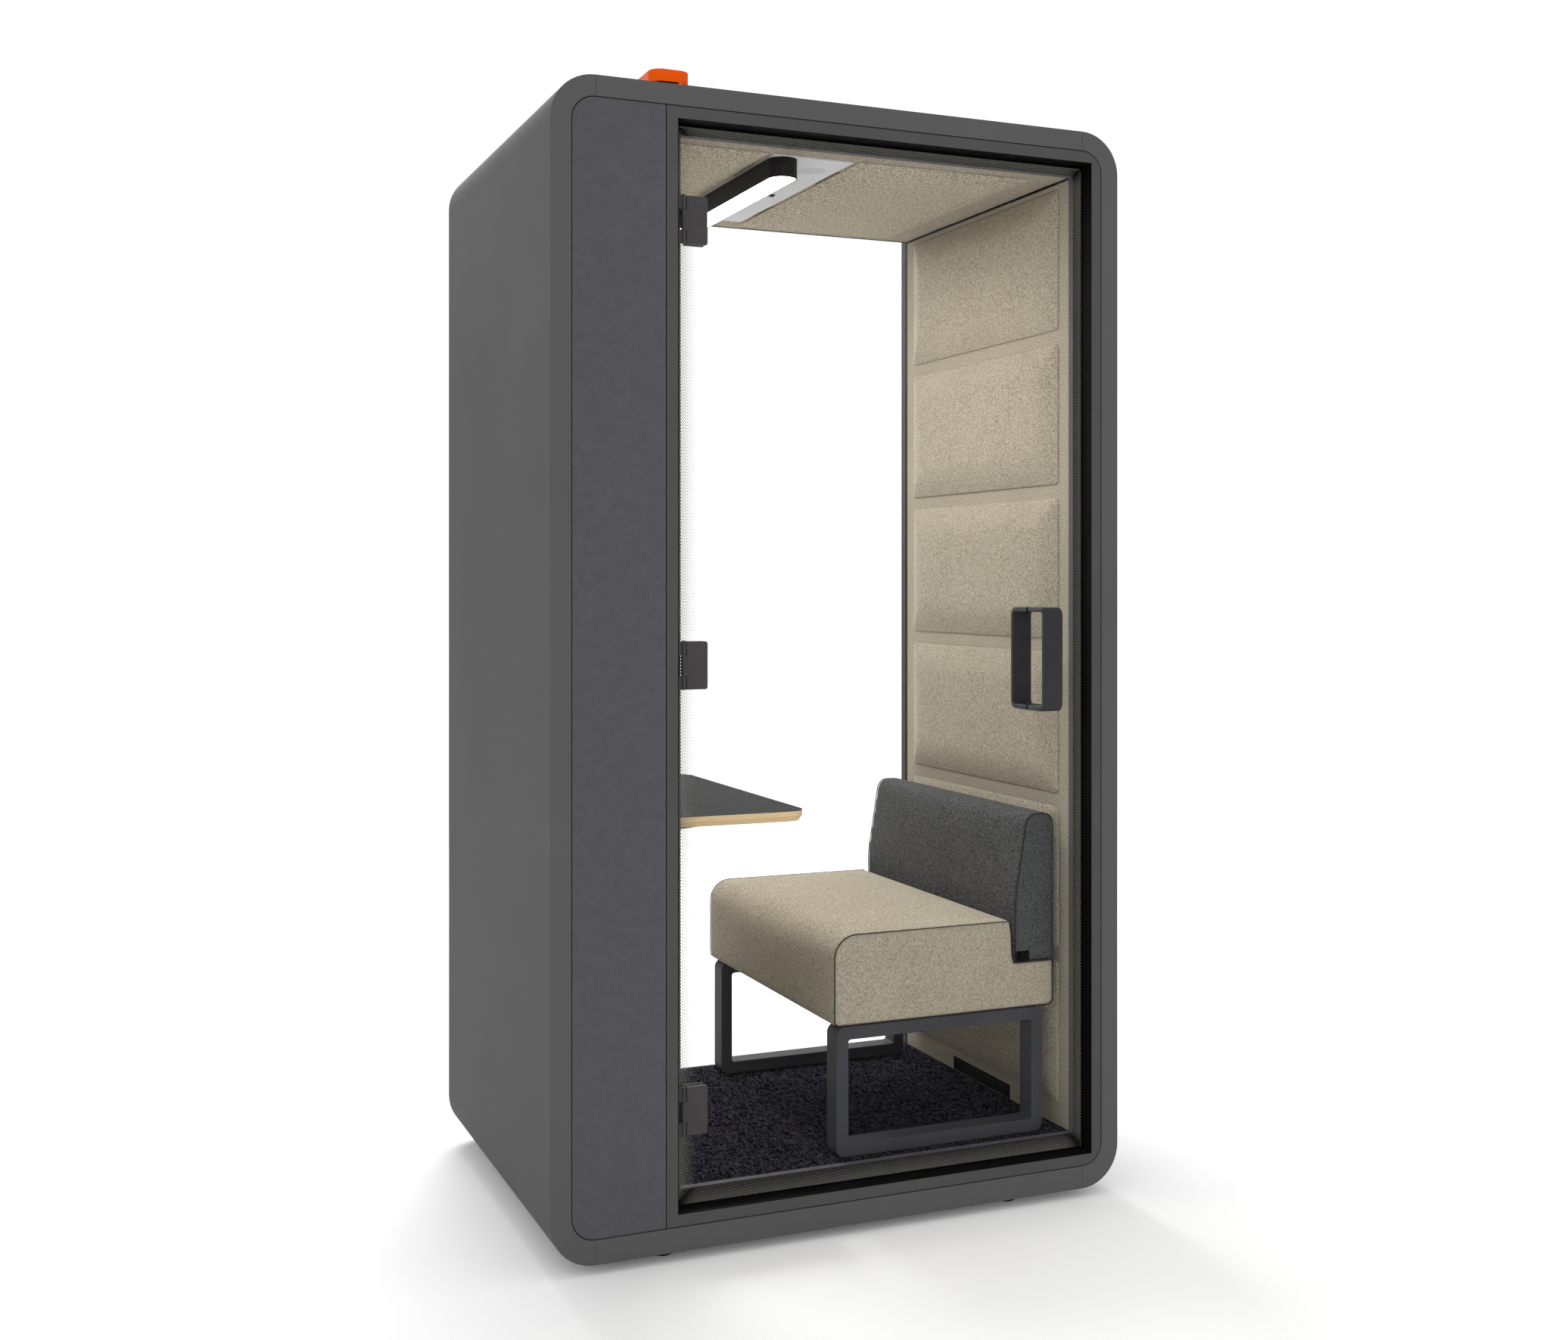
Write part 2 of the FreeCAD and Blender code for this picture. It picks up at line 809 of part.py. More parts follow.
def right_wall_board():
    y0 = vent_y0()
    y1 = y0 + vent_length
    z1 = floor_z + vent_height
    return wall_board(1).cut(box(lining_x - overrun, lining_x + vent_depth, y0, y1, floor_z, z1))


def floor_vent():
    """Black air intake set into the right wall, with level slats."""
    y0 = vent_y0()
    z1 = floor_z + vent_height
    block = box(lining_x, lining_x + vent_depth, y0, y0 + vent_length, floor_z, z1)
    room = z1 - floor_z - 2 * vent_rim
    gap = (room - vent_slats * vent_slat_wall) / (vent_slats + 1)
    mouths = []
    for i in range(vent_slats + 1):
        low = floor_z + vent_rim + i * (gap + vent_slat_wall)
        mouths.append(box(
            lining_x - overrun, lining_x + vent_depth - vent_rim,
            y0 + vent_rim, y0 + vent_length - vent_rim, low, low + gap,
        ))
    return cut_all(block, mouths)


def ceiling_board():
    board = box(-inner_x, inner_x, lining_front_y, lining_rear_y, ceiling_z, ceiling_z + ceiling_board_wall)
    board = within_casing(board, lining_gap)
    z0 = ceiling_z - overrun
    z1 = ceiling_z + ceiling_board_wall + overrun
    slots = []
    for x0 in (panel_left - ceiling_pad_to_panel, panel_right):
        for y in fan_places():
            slots.append(box(x0, x0 + ceiling_pad_to_panel, y - fan_size / 2, y + fan_size / 2, z0, z1))
    return cut_all(board, slots)


def soft_pad(u0, u1, v0, v1, rise, place):
    """Pad with a flat back, soft slopes and a flat crown; place takes (u, v, height)."""
    wires = []
    for rise_share, slope_share in zip(pad_rise_shares, pad_slope_shares):
        inset = pad_slope * slope_share
        corners = rect(u0 + inset, u1 - inset, v0 + inset, v1 - inset, pad_corner + inset / 2)
        height = rise * rise_share
        wires.append(outline(corners, lambda u, v, h=height: place(u, v, h)))
    return Part.makeLoft(wires, True, False)


def wall_pads(side):
    base = lining_x - soft_gap
    rise = pad_raise - soft_gap

    def place(u, v, height):
        return V(side * (base - height), u, v)

    pads = []
    for i in range(pad_count):
        low = pad_low_z + i * pad_pitch + pad_gap / 2
        high = low + pad_pitch - pad_gap
        pads.append(soft_pad(pad_front_y, pad_rear_y, low, high, rise, place))
    return pads


def left_wall_pads():
    """Pads of the left wall, cut clear of the table and its arms."""
    x0 = -lining_x - overrun
    x1 = -lining_x + pad_raise + overrun
    play = arm_pad_play
    tools = [box(x0, x1, table_y0 - play, table_y1 + play, core_low - soft_gap, table_top_z + soft_gap)]
    for y in arm_places():
        half = flange_width() / 2 + play
        tools.append(box(x0, x1, y - half, y + half, core_low - arm_flange_height - play, core_low))
    cutter = Part.makeCompound(tools)
    return [pad.cut(cutter) for pad in wall_pads(-1)]


def ceiling_pads():
    base = ceiling_z - soft_gap
    rise = ceiling_pad_raise - soft_gap
    spans = (
        (-lining_x + ceiling_pad_side, panel_left - ceiling_pad_to_panel),
        (panel_right + ceiling_pad_to_panel, lining_x - ceiling_pad_side),
    )

    def place(u, v, height):
        return V(u, v, base - height)

    return [soft_pad(x0, x1, pad_front_y, pad_rear_y, rise, place) for x0, x1 in spans]


# Ceiling service panel, lamp and sensor

def disc_y():
    return panel_y0 + disc_back


def service_panel():
    plate = box(panel_left, panel_right, panel_y0, panel_y0 + panel_length, panel_z, ceiling_z)
    hole = upright(disc_radius + soft_gap, disc_x, disc_y(), panel_z - overrun, ceiling_z + overrun)
    return plate.cut(hole)


def blanking_disc():
    return upright(disc_radius, disc_x, disc_y(), panel_z, ceiling_z)


def lamp_bar(inset, z0, z1):
    """Long bar with round ends, drawn in by an inset."""
    half = lamp_width / 2 - inset
    corners = rect(
        lamp_centre_x - half, lamp_centre_x + half,
        panel_y0 + inset, panel_y0 + lamp_length - inset, half,
    )
    return slab_xy(corners, z0, z1)


def ledge_z():
    return panel_z - lamp_drop + diffuser_recess + diffuser_wall


def lamp_housing():
    low = panel_z - lamp_drop
    shell = lamp_bar(0, low, panel_z)
    mouth = lamp_bar(lamp_wall, low - overrun, ledge_z())
    room = lamp_bar(lamp_wall + lamp_ledge, low, panel_z - lamp_top)
    return cut_all(shell, [mouth, room])


def lamp_diffuser():
    return lamp_bar(lamp_wall + soft_gap, ledge_z() - diffuser_wall, ledge_z())


def led_board():
    high = panel_z - lamp_top
    return lamp_bar(lamp_wall + lamp_ledge + soft_gap, high - led_board_wall, high)


def motion_sensor():
    y = panel_y0 + sensor_back
    bottom = panel_z - sensor_drop
    ball_radius = (sensor_radius ** 2 + sensor_drop ** 2) / (2 * sensor_drop)
    ball = Part.makeSphere(ball_radius, V(sensor_x, y, bottom + ball_radius))
    return ball.common(upright(sensor_radius + overrun, sensor_x, y, bottom - overrun, panel_z))


def led_driver():
    top = ceiling_z + ceiling_board_wall
    return post(driver_x, mid_y, driver_length, driver_width, top, top + driver_height)


# Fans

def turned(shape, y, degrees):
    """A shape turned about the fan's axis."""
    copy = shape.copy()
    copy.rotate(V(panel_centre_x, y, 0), V(0, 0, 1), degrees)
    return copy


def fan_frame(y):
    x = panel_centre_x
    block = post(x, y, fan_size, fan_size, fan_low, inner_high)
    block = block.cut(upright(fan_bore, x, y, fan_low - overrun, inner_high + overrun))
    strut_top = fan_low + fan_strut_wall
    strut_length = fan_size - fan_strut_width
    pieces = [block, upright(fan_boss_radius, x, y, fan_low, strut_top)]
    pieces.append(post(x, y, strut_length, fan_strut_width, fan_low, strut_top))
    pieces.append(post(x, y, fan_strut_width, strut_length, fan_low, strut_top))
    pieces.append(upright(spindle_radius, x, y, fan_low, strut_top + spindle_length))
    return fuse_all(pieces)


def fan_rotor(y):
    x = panel_centre_x
    hub = upright(rotor_hub_radius, x, y, rotor_low, rotor_low + rotor_hub_height)
    root = rotor_hub_radius - blade_wall
    blade_x = x + (root + rotor_tip_radius) / 2
    middle_z = rotor_low + rotor_hub_height / 2
    blade_low = middle_z - blade_chord / 2
    blade = post(blade_x, y, rotor_tip_radius - root, blade_wall, blade_low, blade_low + blade_chord)
    blade.rotate(V(x, y, middle_z), V(1, 0, 0), blade_pitch_deg)
    blades = [turned(blade, y, i * 360 / blade_count) for i in range(blade_count)]
    bore = upright(spindle_radius + run_gap, x, y, rotor_low - overrun, rotor_low + spindle_length)
    return fuse_all([hub] + blades).cut(bore)


def roof_grille(y):
    x = panel_centre_x
    z1 = roof_top + grille_wall
    plate = upright(grille_radius, x, y, roof_top, z1)
    for outer_share, inner_share in grille_ring_shares:
        ring = upright(grille_radius * outer_share, x, y, roof_top - overrun, z1 + overrun)
        ring = ring.cut(upright(grille_radius * inner_share, x, y, roof_top - overrun, z1 + overrun))
        plate = plate.cut(ring)
    length = 2 * grille_radius - grille_spoke
    spokes = [post(x, y, length, grille_spoke, roof_top, z1), post(x, y, grille_spoke, length, roof_top, z1)]
    return fuse_all([plate] + spokes)


# Bench

def seat_loop(y0, side):
    """Sled loop of flat bar; side is 1 when the band runs towards +Y."""
    y1 = y0 + side * loop_band
    low, high = sorted((y0, y1))
    loop_x1 = loop_x0 + loop_length
    outer = rect(loop_x0, loop_x1, floor_z, loop_top_z, loop_radius)
    inner = rect(
        loop_x0 + loop_bar, loop_x1 - loop_bar,
        floor_z + loop_bar, loop_top_z - loop_bar, loop_inner_radius,
    )
    loop = slab_xz(outer, low, high).cut(slab_xz(inner, low - overrun, high + overrun))
    return loop.makeFillet(loop_edge, edges_on(loop, 1, (low, high)))


def rail_y0():
    return loop_y0 + loop_band


def rail_y1():
    return loop_y1 - loop_band


def seat_rails():
    left = loop_x0 + loop_bar + rail_inset
    right = loop_x0 + loop_length - loop_bar - rail_inset - rail_width
    low = loop_top_z - rail_height
    return [box(x, x + rail_width, rail_y0(), rail_y1(), low, loop_top_z) for x in (left, right)]


def board_room(gap):
    """Space of the seat board inside the cushion, with a gap round it."""
    inset = seat_board_inset - gap
    return (seat_front_x + inset, bench_rear_x - inset, bench_y0 + inset, bench_y1 - inset)


def seat_board():
    return box(*board_room(0), loop_top_z, loop_top_z + seat_board_wall)


def bench_sections(corners_at):
    """Wires across the bench; corners_at takes the drawn-in inset and the swell, 0 to 1."""
    wires = []
    for share in station_shares:
        inward = min(share, 1 - share) / station_shares[3]
        draw = end_draw * max(1 - inward, 0) ** 3
        swell = math.sin(math.pi * share)
        wires.append(outline(corners_at(draw, swell), on_xz(bench_y0 + share * bench_width)))
    return wires


def seat_corners(draw, swell):
    front = seat_front_x + draw - seat_bulge * swell
    top = seat_top_z - draw - seat_crown * (1 - swell)
    step = bench_rear_x - back_depth - soft_gap
    return [
        (front, seat_low_z, seat_low_radius),
        (front, top, seat_nose_radius),
        (step - notch_lean, top, 0),
        (step, notch_z, 0),
        (bench_rear_x - draw, notch_z, 0),
        (bench_rear_x - draw, seat_low_z, seat_low_radius),
    ]


def seat_cushion():
    cushion = Part.makeLoft(bench_sections(seat_corners), True, False)
    pocket = box(*board_room(soft_gap), seat_low_z - overrun, loop_top_z + seat_board_wall + soft_gap)
    return cushion.cut(pocket)


def back_corners(draw, swell):
    rear = bench_rear_x - draw
    root = bench_rear_x - back_depth
    low = notch_z + soft_gap
    top = seat_top_z + back_height - draw - back_crown * (1 - swell)
    front_top = bench_rear_x - back_top_depth + draw - back_bulge * swell
    return [
        (root, low, 0),
        (root, seat_top_z + back_bend_rise, back_bend_radius),
        (front_top, top, back_nose_radius),
        (rear, top, back_top_radius),
        (rear, low, 0),
    ]


def backrest_cushion():
    return Part.makeLoft(bench_sections(back_corners), True, False)


def seat_tag():
    x0 = bench_rear_x - back_depth + tag_inset
    y1 = bench_y0 - soft_gap
    z0 = notch_z + tag_inset
    return box(x0, x0 + tag_width, y1 - tag_wall, y1, z0, z0 + tag_height)


# Table

def table_outline(inset, z):
    corners = [
        (-lining_x, table_y0 + inset, 0),
        (table_free_x - inset, table_y0 + inset, table_corner - inset),
        (table_free_x - inset, table_y1 - inset, table_corner - inset),
        (-lining_x, table_y1 - inset, 0),
    ]
    return outline(corners, on_xy(z))


def arm_places():
    return [mid_y - arm_spread, mid_y + arm_spread]


def flange_width():
    return arm_width + 2 * arm_flange_wall


def screw_places():
    """Places of the screws that hold the table top on its arms."""
    places = []
    for y in arm_places():
        for share in table_screw_shares:
            for side in (-1, 1):
                places.append((-lining_x + share * arm_reach, y + side * table_screw_out))
    return places


def screw_holes(z0, z1):
    return [upright(table_screw_radius + run_gap, x, y, z0, z1) for x, y in screw_places()]


def table_core():
    bevel_z = core_low + table_bevel_height
    wires = [table_outline(table_bevel_in, core_low)]
    wires += [table_outline(0, z) for z in (bevel_z, core_high)]
    core = Part.makeLoft(wires, True, True)
    return cut_all(core, screw_holes(core_low - overrun, core_low + table_screw_bite))


def table_laminate():
    return Part.Face(table_outline(0, core_high)).extrude(V(0, 0, laminate_wall))


def table_arm(y):
    """Tapered steel arm under the table, with a flange on the wall."""
    wall = -lining_x
    plate_low = core_low - arm_plate_wall
    half = flange_width() / 2
    flange = box(wall, wall + arm_flange_wall, y - half, y + half, core_low - arm_flange_height, core_low)
    plate = box(wall, wall + arm_reach, y - arm_width / 2, y + arm_width / 2, plate_low, core_low)
    corners = [
        (wall, core_low - arm_root_drop, 0),
        (wall + arm_reach, core_low - arm_tip_drop, 0),
        (wall + arm_reach, core_low, 0),
        (wall, core_low, 0),
    ]
    web = slab_xz(corners, y - arm_web / 2, y + arm_web / 2)
    arm = fuse_all([flange, plate, web])
    return cut_all(arm, screw_holes(plate_low - overrun, core_low + overrun))


def table_screw(x, y):
    plate_low = core_low - arm_plate_wall
    head = upright(table_screw_head, x, y, plate_low - table_screw_head_height, plate_low)
    shank = upright(table_screw_radius, x, y, plate_low, core_low + table_screw_bite - soft_gap)
    return fuse_all([head, shank])


# Roof

def inlet_guard():
    """Bent strip round the mains inlet, open at the back, with a cord slot at the front."""
    y1 = guard_y0 + guard_length
    wall = guard_wall
    corners = [
        (guard_x0, y1, 0),
        (guard_x0, guard_y0, guard_bend),
        (guard_x1, guard_y0, guard_bend),
        (guard_x1, y1, 0),
        (guard_x1 - wall, y1, 0),
        (guard_x1 - wall, guard_y0 + wall, guard_bend - wall),
        (guard_x0 + wall, guard_y0 + wall, guard_bend - wall),
        (guard_x0 + wall, y1, 0),
    ]
    strip = slab_xy(corners, roof_top, roof_top + guard_height)
    strip = strip.cut(box(
        guard_x0 + guard_slot_left, guard_x1 - guard_slot_right,
        guard_y0 - overrun, guard_y0 + guard_slot_depth,
        roof_top - overrun, roof_top + guard_slot_height,
    ))
    tabs = []
    for x0, x1 in ((guard_x0, guard_x0 + guard_tab_width), (guard_x1 - guard_tab_width, guard_x1)):
        tabs.append(box(x0, x1, y1 - guard_tab_length, y1, roof_top, roof_top + wall))
    return fuse_all([strip] + tabs)


def power_inlet():
    """Mains inlet on the roof, with its socket towards the rear."""
    y0 = guard_y0 + guard_wall + inlet_back
    y1 = y0 + inlet_depth
    x = guard_centre_x
    z = roof_top + inlet_height / 2
    body = box(x - inlet_width / 2, x + inlet_width / 2, y0, y1, roof_top, roof_top + inlet_height)
    floor_y = y1 - socket_depth
    body = body.cut(box(
        x - socket_width / 2, x + socket_width / 2,
        floor_y, y1 + overrun,
        z - socket_height / 2, z + socket_height / 2,
    ))
    pins = []
    for step in (-socket_pin_pitch, 0, socket_pin_pitch):
        pins.append(box(
            x + step - socket_pin_width / 2, x + step + socket_pin_width / 2,
            y0, floor_y + socket_pin_length,
            z - socket_pin_height / 2, z + socket_pin_height / 2,
        ))
    return fuse_all([body] + pins)


# All pieces by name

pieces = {
    "left_casing": side_casing(-1),
    "right_casing": side_casing(1),
    "roof_casing": roof_casing(),
    "base_casing": base_casing(),
    "front_fascia": front_fascia(),
    "front_frame": front_frame(),
    "door_frame": door_frame(),
    "front_inner_panel": front_inner_panel(),
    "door_seal": door_seal(),
    "door_glass": door_glass(),
    "hinge_door_leaves": [hinge_door_leaf(z) for z in hinge_levels],
    "hinge_back_plates": [hinge_back_plate(z) for z in hinge_levels],
    "hinge_bolts": [hinge_bolt(z) for z in bolt_levels()],
    "hinge_jamb_leaves": [hinge_jamb_leaf(z) for z in hinge_levels],
    "hinge_pins": [hinge_pin(z) for z in hinge_levels],
    "handle_outer": handle_half(glass_front_y, -1),
    "handle_inner": handle_half(glass_rear_y, 1),
    "handle_bolts": [handle_bolt(z) for z in handle_bolt_levels()],
    "rear_jamb": rear_jamb(),
    "rear_glass": rear_glass(),
    "rear_frame": rear_frame(),
    "floor_joists": floor_joists(),
    "floor_board": floor_board(),
    "carpet": carpet(),
    "left_wall_board": wall_board(-1),
    "right_wall_board": right_wall_board(),
    "floor_vent": floor_vent(),
    "ceiling_board": ceiling_board(),
    "left_wall_pads": left_wall_pads(),
    "right_wall_pads": wall_pads(1),
    "ceiling_pads": ceiling_pads(),
    "service_panel": service_panel(),
    "blanking_disc": blanking_disc(),
    "lamp_housing": lamp_housing(),
    "lamp_diffuser": lamp_diffuser(),
    "led_board": led_board(),
    "motion_sensor": motion_sensor(),
    "led_driver": led_driver(),
    "fan_frames": [fan_frame(y) for y in fan_places()],
    "fan_rotor_front": fan_rotor(fan_places()[0]),
    "fan_rotor_rear": fan_rotor(fan_places()[1]),
    "roof_grilles": [roof_grille(y) for y in fan_places()],
    "seat_leg_near": seat_loop(loop_y0, 1),
    "seat_leg_far": seat_loop(loop_y1, -1),
    "seat_rails": seat_rails(),
    "seat_board": seat_board(),
    "seat_cushion": seat_cushion(),
    "backrest_cushion": backrest_cushion(),
    "seat_tag": seat_tag(),
    "table_core": table_core(),
    "table_laminate": table_laminate(),
    "table_arms": [table_arm(y) for y in arm_places()],
    "table_screws": [table_screw(x, y) for x, y in screw_places()],
    "inlet_guard": inlet_guard(),
    "power_inlet": power_inlet(),
}
for foot_name, (foot_x, foot_y) in foot_places().items():
    pieces[foot_name] = foot(foot_x, foot_y)

for name, solid in pieces.items():
    shape = Part.makeCompound(solid) if isinstance(solid, list) else solid
    shape.exportStep("parts/" + name + ".step")
    volume = shape.Volume / 1e6
    print(f"{name}: {len(shape.Solids)} solids, {volume:.3f} litres, valid {shape.isValid()}")
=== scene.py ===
# %% [markdown]
# # Dressing an office pod
# The pod's solids were drawn in a CAD program and packed with their joints. This lesson loads
# them as a fixed frame, gives every surface a procedural finish, and makes the soft pieces,
# the dot print on the door and the carpet as new meshes that ride on the same bodies.

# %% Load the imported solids
import math

import bmesh
import bpy
from mathutils import Matrix, Vector, noise


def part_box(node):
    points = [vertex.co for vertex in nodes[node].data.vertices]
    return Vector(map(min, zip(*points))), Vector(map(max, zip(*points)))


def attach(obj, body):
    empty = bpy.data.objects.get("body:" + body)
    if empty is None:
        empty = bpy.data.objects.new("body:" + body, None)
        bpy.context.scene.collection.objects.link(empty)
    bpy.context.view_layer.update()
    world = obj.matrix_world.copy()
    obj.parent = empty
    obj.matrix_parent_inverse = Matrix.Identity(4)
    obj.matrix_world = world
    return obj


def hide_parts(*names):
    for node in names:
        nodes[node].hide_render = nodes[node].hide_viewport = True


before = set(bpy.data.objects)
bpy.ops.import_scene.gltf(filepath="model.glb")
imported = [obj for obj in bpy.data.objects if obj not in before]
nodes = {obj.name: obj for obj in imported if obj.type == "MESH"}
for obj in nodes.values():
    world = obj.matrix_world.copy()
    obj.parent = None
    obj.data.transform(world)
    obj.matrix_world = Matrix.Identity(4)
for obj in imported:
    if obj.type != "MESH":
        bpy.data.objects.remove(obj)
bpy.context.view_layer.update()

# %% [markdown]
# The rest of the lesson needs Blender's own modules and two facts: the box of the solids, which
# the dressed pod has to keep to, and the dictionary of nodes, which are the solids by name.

# %% [markdown]
# The camera stands at the left of the door, a little above the middle of the pod, and is level:
# upright edges stay upright. The picture is shifted down a little, as with a view camera, so
# that the pod fills the frame without a tilt.

# %% Camera
view = bpy.data.cameras.new("camera")
view.sensor_width = 36
view.lens = 39.96
view.shift_y = -0.0564
camera = bpy.data.objects.new("camera", view)
camera.location = (-1.5051, -3.64985, 1.3290)
camera.rotation_euler = (math.radians(90), 0, math.radians(-22.836))
bpy.context.scene.collection.objects.link(camera)
bpy.context.scene.camera = camera
bpy.context.scene.view_settings.view_transform = "Standard"
print("camera", [round(x, 3) for x in camera.location], "lens", view.lens)

# %% [markdown]
# A tone judged on screen is a screen value, but a shader takes linear light. Colour pickers convert
# one to the other behind the scenes. A script has to do it itself, and then its tones can be
# compared with those of a rendered picture.

# %% Colours as they look on screen
def paint(red, green, blue):
    """Screen values from 0 to 255 as the linear colour that a shader takes."""
    shares = [c / 255 for c in (red, green, blue)]
    return (*[c / 12.92 if c < 0.04045 else ((c + 0.055) / 1.055) ** 2.4 for c in shares], 1.0)


print("mid grey", [round(c, 3) for c in paint(128, 128, 128)])


# %% [markdown]
# Every finish starts alike: with a Principled shader, and with the place on the piece in Object
# coordinates. Generated coordinates would stretch a grain to each piece's box. Object
# coordinates are in metres, so a grain keeps its size on a bolt and on a wall.

# %% A new finish
def start_finish(name, roughness=0.5, specular=0.5, metallic=0.0):
    """A material with its shader, and the place on the piece, in metres."""
    mat = bpy.data.materials.new(name)
    mat.use_nodes = True
    shader = mat.node_tree.nodes["Principled BSDF"]
    shader.inputs["Roughness"].default_value = roughness
    shader.inputs["Specular IOR Level"].default_value = specular
    shader.inputs["Metallic"].default_value = metallic
    place = mat.node_tree.nodes.new("ShaderNodeTexCoord").outputs["Object"]
    return mat, mat.node_tree, shader, place


def feed(tree, socket, value):
    """Links an output to a socket, or sets the socket to a number or colour."""
    if isinstance(value, bpy.types.NodeSocket):
        tree.links.new(value, socket)
    else:
        socket.default_value = value


trial, tree, shader, place = start_finish("trial")
print("a new finish has", len(tree.nodes), "nodes")
bpy.data.materials.remove(trial)


# %% [markdown]
# Node trees get long when every node is placed by hand. A few small helpers keep a finish
# readable: a noise, a change of range, a mix of two colours, a sum, a relief that feeds the
# shader's normal, and a switch for rays that see, not light.

# %% Nodes that finishes share
def grain(tree, place, scale, detail=2.0, stretch=None):
    """Noise of about 1/scale metres, drawn out along an axis where stretch says so."""
    if stretch:
        mapping = tree.nodes.new("ShaderNodeMapping")
        mapping.inputs["Scale"].default_value = stretch
        feed(tree, mapping.inputs["Vector"], place)
        place = mapping.outputs["Vector"]
    node = tree.nodes.new("ShaderNodeTexNoise")
    node.inputs["Scale"].default_value = scale
    node.inputs["Detail"].default_value = detail
    feed(tree, node.inputs["Vector"], place)
    return node.outputs["Fac"]


def nubs(tree, place, scale):
    """Distance to the nearest of many scattered points: small rounded bumps."""
    node = tree.nodes.new("ShaderNodeTexVoronoi")
    node.inputs["Scale"].default_value = scale
    feed(tree, node.inputs["Vector"], place)
    return node.outputs["Distance"]


def ranged(tree, value, low, high, to_low, to_high):
    """The value with its range from low to high moved to the range from to_low to to_high."""
    node = tree.nodes.new("ShaderNodeMapRange")
    feed(tree, node.inputs["Value"], value)
    names = ("From Min", "From Max", "To Min", "To Max")
    for name, number in zip(names, (low, high, to_low, to_high)):
        node.inputs[name].default_value = number
    return node.outputs["Result"]


def blended(tree, share, first, second):
    """The first colour where share is 0 and the second where it is 1."""
    node = tree.nodes.new("ShaderNodeMix")
    node.data_type = "RGBA"
    feed(tree, node.inputs[0], share)
    feed(tree, node.inputs[6], first)
    feed(tree, node.inputs[7], second)
    return node.outputs[2]


def maths(tree, operation, first, second=0.0):
    """One step of arithmetic with numbers or outputs."""
    node = tree.nodes.new("ShaderNodeMath")
    node.operation = operation
    feed(tree, node.inputs[0], first)
    feed(tree, node.inputs[1], second)
    return node.outputs[0]


def axis(tree, place, letter):
    """One coordinate of the place: X, Y or Z."""
    node = tree.nodes.new("ShaderNodeSeparateXYZ")
    feed(tree, node.inputs[0], place)
    return node.outputs[letter]


def relief(tree, shader, height, depth, strength=0.5):
    """Bumps of the given depth in metres, on the shader's normal."""
    node = tree.nodes.new("ShaderNodeBump")
    node.inputs["Distance"].default_value = depth
    node.inputs["Strength"].default_value = strength
    feed(tree, node.inputs["Height"], height)
    tree.links.new(node.outputs["Normal"], shader.inputs["Normal"])


def seen_share(tree):
    """1 for rays from the camera, a mirror or glass, and 0 for the rays that light things."""
    path = tree.nodes.new("ShaderNodeLightPath").outputs
    mirrored = maths(tree, "MAXIMUM", path["Is Camera Ray"], path["Is Glossy Ray"])
    return maths(tree, "MAXIMUM", mirrored, path["Is Transmission Ray"])


print("helpers ready")

# %% [markdown]
# The floor is white and keeps the pod's soft shadow. It adds a little light of its own for rays
# that come from the camera, a mirror or glass, more so far away, so that the open floor reads as
# white without more light on the pod. It is stage, not part of the object.

# %% Floor
floor_half = 40
glow_near, glow_far = 0.085, 0.36
shape = bmesh.new()
bmesh.ops.create_grid(shape, x_segments=2, y_segments=2, size=floor_half)
floor_mesh = bpy.data.meshes.new("studio_floor")
shape.to_mesh(floor_mesh)
shape.free()
studio_floor = bpy.data.objects.new("studio_floor", floor_mesh)
bpy.context.scene.collection.objects.link(studio_floor)

floor_white, tree, shader, place = start_finish("studio_floor_white", roughness=0.9, specular=0.0)
whites = blended(tree, grain(tree, place, 3), paint(246, 246, 246), paint(250, 250, 250))
feed(tree, shader.inputs["Base Color"], whites)
shader.inputs["Emission Color"].default_value = (1, 1, 1, 1)
far = tree.nodes.new("ShaderNodeVectorMath")
far.operation = "LENGTH"
feed(tree, far.inputs[0], place)
glow = ranged(tree, far.outputs["Value"], 1.0, 6.0, glow_near, glow_far)
feed(tree, shader.inputs["Emission Strength"], maths(tree, "MULTIPLY", seen_share(tree), glow))
floor_mesh.materials.append(floor_white)
print("floor is", studio_floor.dimensions[0], "m wide")

# %% [markdown]
# The world is the studio's pale tent. What the camera sees directly, in a mirror or through
# glass is plain white, with a little to spare for what the panes take. What lights matt surfaces
# is less, and the lamps do the rest.

# %% World
world = bpy.data.worlds.new("studio")
world.use_nodes = True
bpy.context.scene.world = world
tree = world.node_tree
tent_lights, tent_seen = 0.8, 1.05
tent = tree.nodes["Background"].inputs
feed(tree, tent["Strength"], ranged(tree, seen_share(tree), 0, 1, tent_lights, tent_seen))
tent["Color"].default_value = (1, 1, 1, 1)
print("tent lights matt surfaces at", tent_lights, "and is seen at", tent_seen)


# %% [markdown]
# Three large soft lamps shape the pod. Two weak ones, at the front and at the left, lift the
# casing. A strong one behind the pod shines through the rear glass, so that the wall pads and
# the seat get their light from the back and their slopes show. The panes don't show the lamps.

# %% Lamps
def soft_lamp(name, spot, target, size, watts):
    data = bpy.data.lights.new(name, "AREA")
    data.shape = "DISK"
    data.size = size
    data.energy = watts
    lamp = bpy.data.objects.new(name, data)
    lamp.location = spot
    lamp.rotation_euler = (Vector(target) - Vector(spot)).to_track_quat("-Z", "Y").to_euler()
    lamp.visible_camera = lamp.visible_transmission = False
    bpy.context.scene.collection.objects.link(lamp)
    print(name, watts, "W")


soft_lamp("front_lamp", (-0.8, -5.4, 3.2), (0, 0, 1.1), 3.0, 30)
soft_lamp("left_lamp", (-6.0, 0.0, 3.2), (0, 0, 1.1), 3.0, 25)
soft_lamp("rear_lamp", (0.15, 3.9, 3.5), (0.2, 0, 1.0), 2.8, 190)


